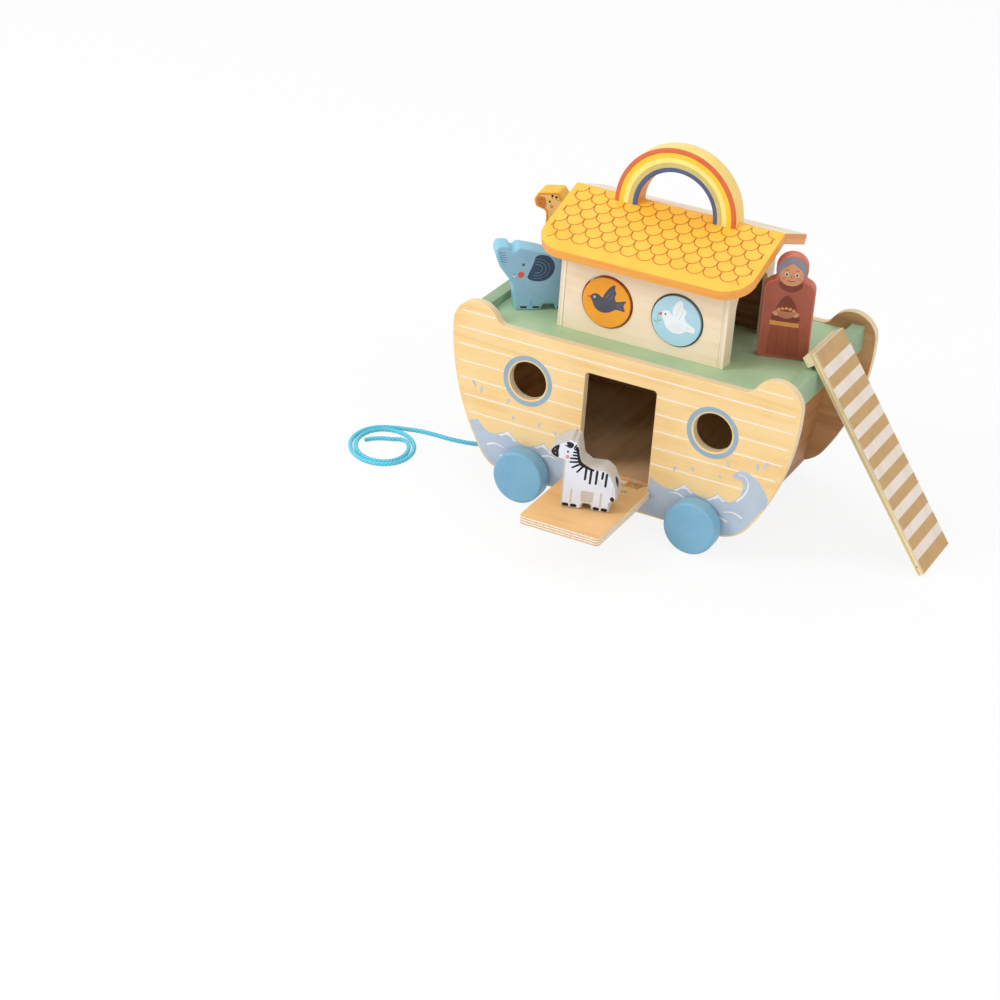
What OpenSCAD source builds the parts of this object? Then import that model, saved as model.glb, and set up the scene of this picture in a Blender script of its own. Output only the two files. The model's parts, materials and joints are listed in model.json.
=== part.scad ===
// Wooden ark toy on four wheels, with a ramp door, a lift-off roof, a gangway and loose passengers.
// Millimetres. X runs from the bow (-X) to the stern (+X), -Y is the door side, Z = 0 is the floor.

/* [Hull] */
// length of the hull over both horns
hull_len = 321; // [312:1:330]
// width of the hull over both side panels
hull_w = 180; // [176:1:188]
// thickness of the side panels
panel_t = 8; // [7.5:0.5:9]
// height of the lower edge of the side panels
panel_bottom = 15; // [13:0.5:16]
// height of the upper face of the deck
deck_top = 151.5; // [149:0.5:154]
// radius of the round horns
horn_r = 22.5; // [21:0.5:24]
// radius of the long curve at each end
side_r = 215; // [208:1:222]
// radius of the lower corners
bilge_r = 35; // [32:1:38]
// thickness of the deck, the hold floor and the end walls
board_t = 8; // [7:0.5:9]
// lean of the bow and stern walls in degrees
wall_lean = 7.4; // [6:0.2:9]
// distance of the portholes from the middle
porthole_x = 86; // [82:1:90]
// height of the portholes
porthole_z = 108; // [104:1:112]
// radius of the portholes
porthole_r = 17.4; // [16:0.2:19]
// width of the doorway
door_w = 66; // [65:1:70]
// height of the door sill
door_sill = 37.3; // [36.3:0.5:38.3]
// height of the top of the doorway
door_top = 131; // [130.5:0.5:134]
// height of the bow and stern rails above the deck
rail_rise = 7; // [5:0.5:9]

/* [Wheels] */
// radius of the wheels
wheel_r = 23.6; // [22.6:0.2:24.6]
// thickness of the wheels
wheel_t = 15.5; // [14:0.5:17]
// distance of the axles in from the ends of the hull
axle_in = 79.5; // [76.5:1:82.5]
// gap between a wheel and its side panel
wheel_gap = 2.3; // [1.5:0.1:3]
// radius of the wooden axles
axle_r = 4; // [3.5:0.1:4.5]
// radial running clearance of the axles
axle_clear = 0.08; // [0.06:0.01:0.1]

/* [Cabin] */
// length of the cabin as a share of the hull's length
cabin_share = 0.48; // [0.47:0.005:0.49]
// distance of the front wall's outer face from the ridge line
cabin_front = 59.6; // [58:0.2:62]
// distance of the back wall's outer face from the ridge line
cabin_back = 37.5; // [36:0.5:38]
// thickness of the end and back walls
cabin_wall_t = 5; // [4:0.5:6]
// thickness of the front wall
cabin_front_t = 6.5; // [6:0.5:8]
// distance of the round windows from the middle
window_x = 32.2; // [30:0.2:34]
// height of the window centres above the deck
window_rise = 33; // [31:0.5:35]
// radius of the window holes
window_r = 23.6; // [22:0.2:24]
// gap round a window disc
disc_gap = 1.2; // [0.5:0.1:1.4]
// how far the window discs stand out of the wall
disc_proud = 2; // [1:0.5:3]
// radius of the spindles that the discs turn on
spindle_r = 3; // [2.5:0.1:3.5]
// radial running clearance of the discs
disc_clear = 0.06; // [0.04:0.01:0.1]
// height of the end doorways above the deck
arch_rise = 63.5; // [60:0.5:66]

/* [Roof] */
// reach of the roof past each end wall
roof_over = 19.36; // [15.96:0.2:19.36]
// height of the ridge above the deck
ridge_rise = 106.9; // [104:0.1:110]
// slope of the front slab in degrees
front_slope = 18.8; // [18:0.2:20]
// slope of the back slab in degrees
back_slope = 18.8; // [18:0.2:20]
// length of the front slab down its slope
front_run = 88; // [84:1:92]
// length of the back slab down its slope
back_run = 57.5; // [55:0.5:60]
// thickness of both slabs
roof_t = 9.4; // [8.4:0.2:10]
// radius of the eave corners
eave_r = 26; // [22:1:30]
// outer radius of the rainbow handle
handle_r = 55.5; // [52:0.5:58]
// width of one of the five rainbow bands
band_w = 4.18; // [3.9:0.02:4.4]
// thickness of the rainbow handle
handle_t = 18; // [16:0.5:20]

/* [Ramp] */
// width of the ramp door
ramp_w = 73.4; // [71:0.2:76]
// length of the ramp door
ramp_len = 101; // [98:1:104]
// thickness of the ramp door
ramp_t = 8; // [7:0.5:9]
// distance of the two hinges from the middle
hinge_x = 19; // [17:0.5:21]
// radius of the hinge knuckles
knuckle_r = 1.6; // [1.5:0.05:1.7]
// radius of the hinge pins
pin_r = 0.8; // [0.7:0.05:0.9]
// radial running clearance of the hinge pins
pin_clear = 0.05; // [0.03:0.01:0.08]

/* [Gangway] */
// width of the gangway board
gangway_w = 64; // [60:1:68]
// thickness of the gangway board
gangway_t = 6; // [5:0.5:7]
// angle of the leaning gangway above the floor
gangway_lean = 55; // [53:1:57]

/* [Passengers] */
// thickness of the animals
animal_t = 20; // [18:0.5:20.5]
// thickness of the woman figure
woman_t = 12; // [10:0.5:13]
// radius of the lacing bores in the animals
lacing_r = 4.5; // [4:0.1:5]

/* [Cord] */
// diameter of the pull cord
cord_d = 4; // [3.6:0.1:4.2]
// spacing of the turns of the coil
coil_pitch = 4.9; // [4.8:0.1:5.2]

/* [Hidden] */
$fn = 96;
// small overlap for cutting shapes
cut = 1;
// gap under pieces that rest on another and lift off
seat_gap = 0.1;
// how far a round corner swells past the straight edges that it joins
swell = 0.02;

// hull outline
half_len = hull_len / 2;
wheel_x = half_len - axle_in;
half_w = hull_w / 2;
inner_y = half_w - panel_t;
inner_w = 2 * inner_y;
horn_x = half_len - horn_r;
horn_z = deck_top - 5.5;
panel_top = deck_top + 0.5;
bilge_z = panel_bottom + bilge_r;
bilge_x = half_len - side_r + sqrt(pow(side_r - bilge_r, 2) - pow(horn_z - bilge_z, 2));
bilge_meet = horn_z - (horn_z - bilge_z) * side_r / (side_r - bilge_r);
fillet_r = 10;
fillet_z = panel_top + fillet_r;
fillet_x = horn_x - sqrt(pow(horn_r + fillet_r, 2) - pow(fillet_z - horn_z, 2));
fillet_part = horn_r / (horn_r + fillet_r);

// boards inside the hull
deck_bottom = deck_top - board_t;
deck_in = 23;
wall_in = 49.5;
wall_lift = 3;
deck_half = half_len - deck_in;
wall_foot = half_len - wall_in;
wall_low = panel_bottom + wall_lift;
function wall_out(z) = wall_foot + (z - panel_bottom) * tan(wall_lean);
function wall_in(z) = wall_out(z) - board_t / cos(wall_lean);
floor_top = door_sill + 3;
floor_half = wall_in(floor_top - board_t) - 0.2;
rail_w = 12;
rail_low = deck_top - 15.5;
rail_top = deck_top + rail_rise;
rail_out = deck_half + rail_w;

// wheels
axle_z = wheel_r;
wheel_in = half_w + wheel_gap;
wheel_round = 2.5;
axle_end = wheel_in + 11;

// roof planes, with y measured from the ridge line
ridge_z = deck_top + ridge_rise;
function front_top(y) = ridge_z + y * tan(front_slope);
function back_top(y) = ridge_z - y * tan(back_slope);
function front_under(y) = front_top(y) - roof_t / cos(front_slope);
function back_under(y) = back_top(y) - roof_t / cos(back_slope);
apex_y = (back_under(0) - front_under(0)) / (tan(front_slope) + tan(back_slope));
apex_z = front_under(apex_y);

// cabin
cabin_half = hull_len * cabin_share / 2;
roof_len = 2 * (cabin_half + roof_over);
cabin_in_x = cabin_half - cabin_wall_t;
front_in_y = cabin_front_t - cabin_front;
back_in_y = cabin_back - cabin_wall_t;
window_z = deck_top + window_rise;
arch_y0 = -43.5;
arch_y1 = 25;
arch_r = 17;
bar_t = 8;
bar_h = 16;
bar_half = window_x + window_r + 6;
disc_r = window_r - disc_gap;
disc_face_y = -cabin_front - disc_proud;
disc_back_y = front_in_y - 0.5;
disc_skin = 1.6;
spindle_in = 6;

// roof pieces
batten_t = 6;
batten_w = 7;
batten_fit = 0.5;
handle_in = handle_r - 5 * band_w;
handle_mid = (handle_r + handle_in) / 2;
handle_z = ridge_z - 1.4;
handle_y0 = -10;
dowel_r = 3;
dowel_y = -4.5;
dowel_low = ridge_z - 8.9;
dowel_high = ridge_z + 9.6;

// ramp and its hinges
hinge_y = -half_w - 3;
hinge_z = door_sill;
ramp_top = hinge_z + 2.2;
ramp_in = -half_w - 1.5;
ramp_out = ramp_in - ramp_len;
ramp_round = 4;
leaf_t = 0.8;
leaf_half = 6;
knuckle_half = 6.5;
middle_half = 2.7;
knuckle_gap = 0.3;
leaf_end = hinge_y - 17;
screw_r = 1;
screw_head_r = 2.2;
screw_head_t = 0.8;
screw_hole_r = 1.3;
sill_screw_y = -half_w + 4;
ramp_screw_y = hinge_y - 13;

// gangway, leaning over the outer edge of the stern rail
rest_gap = 0.3;
gang_dir = [-cos(gangway_lean), sin(gangway_lean)];
gang_up = [sin(gangway_lean), cos(gangway_lean)];
gang_touch = [rail_out, rail_top] + rest_gap * gang_up;
gang_foot = gang_touch - gang_dir * gang_touch[1] / gang_dir[1];
gang_over = 15.6;
gang_top = gang_touch + gang_over * gang_dir;
cleat_len = 9.7;
cleat_t = 6.5;

// free deck between the cabin and a rail, which sets where the passengers stand
deck_free = deck_half - cabin_half;

// passengers: outlines as [along, up, corner radius], facing -X, from the front foot
zebra_side = 15;
zebra_out = 69.5;
zebra_at = [-zebra_side, -half_w - zebra_out, ramp_top + seat_gap];
zebra_turn = 15.5;
zebra_bore = 25;
zebra_line = [
    [0, 0, 2.5], [17.5, 0, 2], [18.5, 5.5, 2], [25, 5.5, 2], [26, 0, 2], [41.5, 0, 2.5],
    [41.5, 9, 2], [47, 13, 3], [46, 24, 8], [41, 35, 8], [35, 40, 6], [22, 39.5, 4],
    [15, 44, 5], [10.8, 63.6, 1.8], [8, 62.6, 1], [5.4, 64.6, 1.6], [-6, 58.5, 6],
    [-13, 51, 5], [-11, 45.5, 3], [-4, 43, 2], [0, 43, 2]
];
elephant_at = [0.35 * deck_free - 2.561 - deck_half, -50.5, deck_top + seat_gap];
elephant_turn = 35.7;
elephant_bore = 24;
elephant_line = [
    [-2.7, 0, 2.5], [19.5, 0, 2.5], [21.5, 5.5, 2], [31, 5.5, 2], [33, 0, 2.5], [46.5, 0, 3],
    [46.5, 35, 12], [37, 48, 10], [23, 52, 9], [9, 55.5, 9], [-3.5, 57.5, 4], [-8.2, 52.2, 2.5],
    [-11, 58.6, 3.5], [-21.8, 58.6, 4], [-22.5, 51, 5], [-18.5, 40, 6], [-6.2, 24, 7]
];
giraffe_at = [0.25 * deck_free - 7.615 - deck_half, 11, deck_top + seat_gap];
giraffe_turn = 8;
giraffe_bore = 30;
giraffe_line = [
    [0, 0, 2.5], [14.5, 0, 2], [15.5, 6.5, 2], [21.5, 6.5, 2], [22.5, 0, 2], [36, 0, 3],
    [42, 15, 5], [38, 27, 7], [26, 41, 6], [18, 46, 7], [16, 72, 6], [18.5, 80, 3],
    [11.5, 88.6, 4], [-6.5, 85.6, 5], [-10.5, 78, 4], [-8.4, 71.6, 3], [1, 69.2, 3], [1.5, 60, 4]
];
woman_at = [cabin_half + 0.7 * deck_free - 30.162, -16.6, deck_top + seat_gap];
woman_turn = 19;
woman_line = [
    [0, 0, 2], [43.2, 0, 2], [43.2, 66.5, 9], [34.2, 71.5, 3], [35.3, 93.3, 13.2], [7.9, 93.3, 13.2],
    [9, 71.5, 3], [0, 66.5, 9]
];

// cord: it leaves the bow wall square, comes down to the floor and runs to a flat coil
cord_r = cord_d / 2;
cord_y = -15;
cord_hole_r = cord_r + 0.4;
knot_r = 4.8;
knot_len = 8;
knot_round = 1.6;
wall_normal = [-cos(wall_lean), 0, -sin(wall_lean)];
cord_start = [-wall_out(25), cord_y, 25] - board_t * wall_normal;
cord_lie = cord_r + 0.1;
function from_bow(d, y, z) = [-half_len - d, y, z];
coil_mid = from_bow(66.5, -82, cord_lie);
coil_turn = 27;
coil_a = 31;
coil_b = 38;
coil_first = 90;
coil_last = 720;
coil_end = 860;
coil_step = 15;
coil_sides = 6;
cord_sides = 8;
function coil_inset(f) = coil_pitch * (min(f, coil_last + 30) - coil_first) / 360;
function coil_tail(f) = let (s = min(max((f - coil_last) / 80, 0), 1)) s * s * (3 - 2 * s);
function coil_wide(f) = coil_a - coil_inset(f);
function coil_deep(f) = (coil_b - coil_inset(f)) * (1 - coil_tail(f)) + 15 * coil_tail(f);
function coil_axes(a, b) = [
    coil_mid[0] + a * cos(coil_turn) - b * sin(coil_turn),
    coil_mid[1] + a * sin(coil_turn) + b * cos(coil_turn),
    cord_lie
];
function coil_at(f) = coil_axes(coil_wide(f) * cos(f), coil_deep(f) * sin(f));
coil_join = coil_axes(cord_d, coil_b);
coil_points = concat(
    [coil_join],
    [for (f = [coil_first:coil_step:coil_last]) coil_at(f)],
    [for (f = [coil_last + 14:14:coil_end]) coil_at(f)]
);
cord_route = concat(
    [cord_start, cord_start + (board_t + cord_d) * wall_normal],
    [
        from_bow(-35.5, -16, 20), from_bow(-27.5, -18, 14.5), from_bow(-19.5, -21, 9), from_bow(-11.5, -25, 4.5),
        from_bow(-2.5, -30, cord_lie), from_bow(6.5, -33, cord_lie), from_bow(16.5, -35, cord_lie),
        from_bow(26.5, -36, cord_lie), from_bow(36.5, -36, cord_lie), from_bow(46.5, -36.5, cord_lie),
        from_bow(56.5, -38, cord_lie), from_bow(66.5, -41, cord_lie)
    ],
    [coil_axes(2 * cord_d, coil_b), coil_join]
);

// outlines with soft corners, listed counter-clockwise as [x, y, radius]
function unit(v) = v / norm(v);
function flat(v) = [v[0], v[1]];
function around(p, i) = p[(i + len(p)) % len(p)];
function way_in(p, i) = unit(flat(around(p, i)) - flat(around(p, i - 1)));
function way_out(p, i) = unit(flat(around(p, i + 1)) - flat(around(p, i)));
function turn(p, i) = let (a = way_in(p, i), b = way_out(p, i))
    atan2(a[0] * b[1] - a[1] * b[0], a[0] * b[0] + a[1] * b[1]);
function reach(p, i) = p[i][2] * tan(abs(turn(p, i)) / 2);
function arc_from(p, i) = flat(p[i]) - way_in(p, i) * reach(p, i);
function arc_to(p, i) = flat(p[i]) + way_out(p, i) * reach(p, i);
function arc_mid(p, i) = let (a = way_in(p, i))
    arc_from(p, i) + sign(turn(p, i)) * p[i][2] * [-a[1], a[0]];

module soft_outline(p) {
    corners = [for (i = [0:len(p) - 1]) if (p[i][2] > 0) i];
    difference() {
        union() {
            polygon([
                for (i = [0:len(p) - 1])
                    each p[i][2] > 0 ? [arc_from(p, i), arc_to(p, i)] : [flat(p[i])]
            ]);
            for (i = corners)
                if (turn(p, i) > 0)
                    translate(arc_mid(p, i)) circle(r = p[i][2] + swell);
        }
        for (i = corners)
            if (turn(p, i) < 0)
                translate(arc_mid(p, i)) circle(r = p[i][2] + swell);
    }
}

// an upright outline in X and Z, from y to y + t
module upright(y, t) {
    translate([0, y + t, 0]) rotate([90, 0, 0]) linear_extrude(height = t) children();
}

// an outline in Y and Z, from x to x + t
module crosswise(x, t) {
    translate([x, 0, 0]) rotate([90, 0, 90]) linear_extrude(height = t) children();
}

// a round bar along Y
module bar_y(x, z, r, y0, y1) {
    translate([x, y0, z]) rotate([-90, 0, 0]) cylinder(r = r, h = y1 - y0);
}

// a round bar along X
module bar_x(y, z, r, x0, x1) {
    translate([x0, y, z]) rotate([0, 90, 0]) cylinder(r = r, h = x1 - x0);
}

// a box from one corner to the opposite one
module block(p, q) {
    translate(p) cube(q - p);
}

// a round block with softened rims, standing on z = 0
module puck(r, t, soft) {
    rotate_extrude() {
        square([r - soft, t]);
        translate([0, soft]) square([r, t - 2 * soft]);
        for (y = [soft, t - soft]) translate([r - soft, y]) circle(r = soft);
    }
}

// the boat shape of a side panel
module hull_outline() {
    difference() {
        union() {
            intersection() {
                translate([half_len - side_r, horn_z]) circle(r = side_r, $fn = 360);
                translate([side_r - half_len, horn_z]) circle(r = side_r, $fn = 360);
                translate([-half_len - cut, bilge_meet])
                    square([hull_len + 2 * cut, horn_z - bilge_meet]);
            }
            translate([-bilge_x, panel_bottom]) square([2 * bilge_x, 80]);
            translate([-horn_x, deck_top - 50]) square([2 * horn_x, panel_top - deck_top + 50]);
            for (s = [0, 1]) mirror([s, 0]) {
                translate([bilge_x, bilge_z]) circle(r = bilge_r + swell);
                translate([horn_x, horn_z]) circle(r = horn_r + swell);
                polygon([
                    [horn_x, horn_z],
                    [horn_x, horn_z] + fillet_part * [fillet_x - horn_x, fillet_z - horn_z],
                    [fillet_x, panel_top],
                    [fillet_x, panel_top - 4]
                ]);
            }
        }
        for (s = [-1, 1]) translate([s * fillet_x, fillet_z]) circle(r = fillet_r + swell);
    }
}

module panel_holes() {
    for (s = [-1, 1]) {
        translate([s * porthole_x, porthole_z]) circle(r = porthole_r);
        translate([s * wheel_x, axle_z]) circle(r = axle_r + axle_clear);
    }
}

module front_panel() {
    color("#f6d391") difference() {
        upright(-half_w, panel_t) difference() {
            hull_outline();
            panel_holes();
            soft_outline([
                [-door_w / 2, door_sill, 0], [door_w / 2, door_sill, 0],
                [door_w / 2, door_top, 3], [-door_w / 2, door_top, 3]
            ]);
        }
        for (s = [-1, 1]) translate([s * hinge_x, sill_screw_y, hinge_z - 7.5]) cylinder(r = screw_r, h = 10);
    }
}

module back_panel() {
    color("#f6d391") upright(inner_y, panel_t) difference() {
        hull_outline();
        panel_holes();
    }
}

module hold_floor() {
    color("#96602f") block([-floor_half, -inner_y, floor_top - board_t], [floor_half, inner_y, floor_top]);
}

// a leaning wall across the stern end of the hold
module end_wall() {
    upright(-inner_y, inner_w) polygon([
        [wall_in(wall_low), wall_low], [wall_out(wall_low), wall_low],
        [wall_out(deck_bottom), deck_bottom], [wall_in(deck_bottom), deck_bottom]
    ]);
}

module bow_wall() {
    color("#96602f") difference() {
        mirror([1, 0, 0]) end_wall();
        translate(cord_start) rotate([0, -wall_lean, 0]) bar_x(0, 0, cord_hole_r, -board_t - 5, 5);
    }
}

module stern_wall() {
    color("#96602f") end_wall();
}

module deck() {
    color("#a2c9a6") block([-deck_half, -inner_y, deck_bottom], [deck_half, inner_y, deck_top]);
}

module stern_rail() {
    color("#a2c9a6") block([deck_half, -inner_y, rail_low], [rail_out, inner_y, rail_top]);
}

module bow_rail() {
    color("#a2c9a6") block([-rail_out, -inner_y, rail_low], [-deck_half, inner_y, rail_top]);
}

module cabin_front_wall() {
    color("#f5e4c8") difference() {
        crosswise(-cabin_in_x, 2 * cabin_in_x) polygon([
            [-cabin_front, deck_top], [front_in_y, deck_top],
            [front_in_y, front_under(front_in_y) - seat_gap],
            [-cabin_front, front_under(-cabin_front) - seat_gap]
        ]);
        for (s = [-1, 1]) bar_y(s * window_x, window_z, window_r, -cabin_front - cut, front_in_y + cut);
    }
}

module cabin_back_wall() {
    color("#f5e4c8") crosswise(-cabin_in_x, 2 * cabin_in_x) polygon([
        [back_in_y, deck_top], [cabin_back, deck_top],
        [cabin_back, back_under(cabin_back) - seat_gap],
        [back_in_y, back_under(back_in_y) - seat_gap]
    ]);
}

// gable wall of the cabin with its doorway
module gable(x) {
    crosswise(x, cabin_wall_t) difference() {
        polygon([
            [-cabin_front, deck_top], [cabin_back, deck_top],
            [cabin_back, back_under(cabin_back) - seat_gap],
            [apex_y, apex_z - seat_gap],
            [-cabin_front, front_under(-cabin_front) - seat_gap]
        ]);
        soft_outline([
            [arch_y0, deck_top - cut, 0], [arch_y1, deck_top - cut, 0],
            [arch_y1, deck_top + arch_rise, arch_r], [arch_y0, deck_top + arch_rise, arch_r]
        ]);
    }
}

module cabin_bow_wall() {
    color("#f5e4c8") gable(-cabin_half);
}

module cabin_stern_wall() {
    color("#f5e4c8") gable(cabin_in_x);
}

// bar across the inside of both windows, with the two spindle holes
module window_bar() {
    color("#e8cfa4") difference() {
        block(
            [-bar_half, front_in_y, window_z - bar_h / 2],
            [bar_half, front_in_y + bar_t, window_z + bar_h / 2]
        );
        for (s = [-1, 1]) bar_y(s * window_x, window_z, spindle_r, front_in_y - cut, front_in_y + spindle_in);
    }
}

module spindle(x) {
    bar_y(x, window_z, spindle_r, disc_face_y + disc_skin + 0.3, front_in_y + spindle_in);
}

module bow_spindle() {
    color("#e8cfa4") spindle(-window_x);
}

module stern_spindle() {
    color("#e8cfa4") spindle(window_x);
}

module disc(x) {
    difference() {
        bar_y(x, window_z, disc_r, disc_face_y, disc_back_y);
        bar_y(x, window_z, spindle_r + disc_clear, disc_face_y + disc_skin, disc_back_y + cut);
    }
}

module dark_bird_disc() {
    color("#f2a63c") disc(-window_x);
}

module pale_bird_disc() {
    color("#b5dcec") disc(window_x);
}

// hinge leaf on the sill with its two outer knuckles
module sill_leaf(x) {
    difference() {
        union() {
            block(
                [x - knuckle_half, hinge_y + 0.6, hinge_z],
                [x + knuckle_half, -inner_y - 0.5, hinge_z + leaf_t]
            );
            bar_x(hinge_y, hinge_z, knuckle_r, x - knuckle_half, x + knuckle_half);
        }
        block(
            [x - middle_half - knuckle_gap, hinge_y - 3, hinge_z - 3],
            [x + middle_half + knuckle_gap, hinge_y + knuckle_r + 0.8, hinge_z + 3]
        );
        bar_x(hinge_y, hinge_z, pin_r, x - 10, x + 10);
        translate([x, sill_screw_y, hinge_z - cut]) cylinder(r = screw_hole_r, h = 4);
    }
}

module bow_sill_leaf() {
    color("#c9c9c6") sill_leaf(-hinge_x);
}

module stern_sill_leaf() {
    color("#c9c9c6") sill_leaf(hinge_x);
}

// hinge leaf set in the ramp with the middle knuckle
module ramp_leaf(x) {
    difference() {
        union() {
            block(
                [x - leaf_half, leaf_end, hinge_z - leaf_t / 2],
                [x + leaf_half, hinge_y - 2.2, hinge_z + leaf_t / 2]
            );
            block(
                [x - middle_half, hinge_y - 4, hinge_z - leaf_t / 2],
                [x + middle_half, hinge_y - 1, hinge_z + leaf_t / 2]
            );
            bar_x(hinge_y, hinge_z, knuckle_r, x - middle_half, x + middle_half);
        }
        bar_x(hinge_y, hinge_z, pin_r + pin_clear, x - 10, x + 10);
        translate([x, ramp_screw_y, hinge_z - 2]) cylinder(r = screw_hole_r, h = 4);
    }
}

module bow_ramp_leaf() {
    color("#c9c9c6") ramp_leaf(-hinge_x);
}

module stern_ramp_leaf() {
    color("#c9c9c6") ramp_leaf(hinge_x);
}

module bow_hinge_pin() {
    color("#b4b4b2") bar_x(hinge_y, hinge_z, pin_r, -hinge_x - knuckle_half, knuckle_half - hinge_x);
}

module stern_hinge_pin() {
    color("#b4b4b2") bar_x(hinge_y, hinge_z, pin_r, hinge_x - knuckle_half, hinge_x + knuckle_half);
}

// round-headed screw whose head sits on z
module screw(x, y, z, len) {
    translate([x, y, z]) cylinder(r = screw_head_r, h = screw_head_t);
    translate([x, y, z - len]) cylinder(r = screw_r, h = len + screw_head_t / 2);
}

module bow_sill_screw() {
    color("#d5d5d2") screw(-hinge_x, sill_screw_y, hinge_z + leaf_t, 7.5);
}

module stern_sill_screw() {
    color("#d5d5d2") screw(hinge_x, sill_screw_y, hinge_z + leaf_t, 7.5);
}

module bow_ramp_screw() {
    color("#d5d5d2") screw(-hinge_x, ramp_screw_y, ramp_top, 5.5);
}

module stern_ramp_screw() {
    color("#d5d5d2") screw(hinge_x, ramp_screw_y, ramp_top, 5.5);
}

// ramp board with notches for the knuckles and slots for the leaves
module ramp_door() {
    color("#eeb46e") difference() {
        translate([0, 0, ramp_top - ramp_t]) linear_extrude(height = ramp_t) soft_outline([
            [-ramp_w / 2, ramp_out, ramp_round], [ramp_w / 2, ramp_out, ramp_round],
            [ramp_w / 2, ramp_in, 0], [-ramp_w / 2, ramp_in, 0]
        ]);
        for (s = [-1, 1]) {
            block(
                [s * hinge_x - knuckle_half - 0.9, hinge_y - 2, hinge_z - 2.1],
                [s * hinge_x + knuckle_half + 0.9, ramp_in + cut, ramp_top + cut]
            );
            block(
                [s * hinge_x - leaf_half - 0.2, leaf_end - 0.2, hinge_z - leaf_t / 2],
                [s * hinge_x + leaf_half + 0.2, hinge_y - 1, hinge_z + leaf_t / 2]
            );
            translate([s * hinge_x, ramp_screw_y, ramp_top - 6]) cylinder(r = screw_r, h = 8);
        }
    }
}

module axle(x) {
    bar_y(x, axle_z, axle_r, -axle_end, axle_end);
}

module bow_axle() {
    color("#e3c48f") axle(-wheel_x);
}

module stern_axle() {
    color("#e3c48f") axle(wheel_x);
}

// wheel on the back side with softened rims and a blind bore for the axle
module wheel(x) {
    difference() {
        translate([x, wheel_in, axle_z]) rotate([-90, 0, 0]) puck(wheel_r, wheel_t, wheel_round);
        bar_y(x, axle_z, axle_r, wheel_in - cut, axle_end);
    }
}

module bow_front_wheel() {
    color("#7fb6d2") mirror([0, 1, 0]) wheel(-wheel_x);
}

module bow_back_wheel() {
    color("#7fb6d2") wheel(-wheel_x);
}

module stern_front_wheel() {
    color("#7fb6d2") mirror([0, 1, 0]) wheel(wheel_x);
}

module stern_back_wheel() {
    color("#7fb6d2") wheel(wheel_x);
}

module roof_front_slab() {
    color("#ffd553") difference() {
        intersection() {
            translate([0, 0, ridge_z]) rotate([front_slope, 0, 0]) translate([0, 0, -roof_t])
                linear_extrude(height = roof_t) soft_outline([
                    [-roof_len / 2, -front_run, eave_r], [roof_len / 2, -front_run, eave_r],
                    [roof_len / 2, 10, 0], [-roof_len / 2, 10, 0]
                ]);
            block([-roof_len, -2 * front_run, 0], [roof_len, 0, 2 * ridge_z]);
        }
        for (s = [-1, 1]) translate([s * handle_mid, dowel_y, dowel_low]) cylinder(r = dowel_r, h = 30);
    }
}

module roof_back_slab() {
    eave = [back_run * cos(back_slope), ridge_z - back_run * sin(back_slope)];
    color("#e0a96b") crosswise(-roof_len / 2, roof_len) polygon([
        [0, back_under(0)], eave - roof_t * [sin(back_slope), cos(back_slope)], eave, [0, ridge_z]
    ]);
}

module rainbow_handle() {
    color("#e9a24a") difference() {
        upright(handle_y0, handle_t) translate([0, handle_z]) difference() {
            union() {
                circle(r = handle_r);
                translate([-handle_r, -12]) square([2 * handle_r, 12]);
            }
            circle(r = handle_in);
            translate([-handle_in, -handle_r]) square([2 * handle_in, handle_r]);
            translate([-handle_r - cut, -handle_r - cut])
                square([2 * handle_r + 2 * cut, handle_r + cut - 12]);
        }
        crosswise(-100, 200) polygon([
            [-40, ridge_z - 60], [40, ridge_z - 60], [40, back_top(40)], [0, ridge_z], [-40, front_top(-40)]
        ]);
        for (s = [-1, 1]) handle_dowel(s * handle_mid);
    }
}

module handle_dowel(x) {
    translate([x, dowel_y, dowel_low]) cylinder(r = dowel_r, h = dowel_high - dowel_low);
}

module bow_handle_dowel() {
    color("#e8cfa4") handle_dowel(-handle_mid);
}

module stern_handle_dowel() {
    color("#e8cfa4") handle_dowel(handle_mid);
}

// bent batten under both slabs, which drops inside the cabin walls
module batten(x) {
    y0 = front_in_y + batten_fit;
    y1 = back_in_y - batten_fit;
    crosswise(x, batten_w) polygon([
        [y0, front_under(y0) - batten_t], [apex_y, apex_z - batten_t], [y1, back_under(y1) - batten_t],
        [y1, back_under(y1)], [apex_y, apex_z], [y0, front_under(y0)]
    ]);
}

module bow_batten() {
    color("#e8cfa4") batten(batten_fit - cabin_in_x);
}

module stern_batten() {
    color("#e8cfa4") batten(cabin_in_x - batten_fit - batten_w);
}

module gangway_board() {
    gang_end = gang_top + gangway_t * gang_up;
    color("#cba36c") upright(-gangway_w / 2, gangway_w) polygon([
        gang_foot, gang_foot + gangway_t * gang_up, gang_end, gang_top
    ]);
}

module gangway_cleat() {
    color("#e8cfa4") upright(-gangway_w / 2, gangway_w) polygon([
        gang_top - cleat_len * gang_dir, gang_top,
        gang_top - cleat_t * gang_up, gang_top - cleat_len * gang_dir - cleat_t * gang_up
    ]);
}

// a passenger cut from thick board, with its front face on local y = 0
module passenger(at, angle, thick, line) {
    translate(at) rotate([0, 0, angle]) difference() {
        upright(0, thick) soft_outline(line);
        children();
    }
}

// lacing bore along the length of an animal
module lacing_bore(up) {
    bar_x(animal_t / 2, up, lacing_r, -60, 90);
}

module zebra() {
    color("#e4e4e0") passenger(zebra_at, zebra_turn, animal_t, zebra_line)
        lacing_bore(zebra_bore);
}

module elephant() {
    color("#86b4d2") passenger(elephant_at, elephant_turn, animal_t, elephant_line)
        lacing_bore(elephant_bore);
}

module giraffe() {
    color("#f6c04c") passenger(giraffe_at, giraffe_turn, animal_t, giraffe_line)
        lacing_bore(giraffe_bore);
}

module woman_figure() {
    color("#9c5040") passenger(woman_at, woman_turn, woman_t, woman_line);
}

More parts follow.
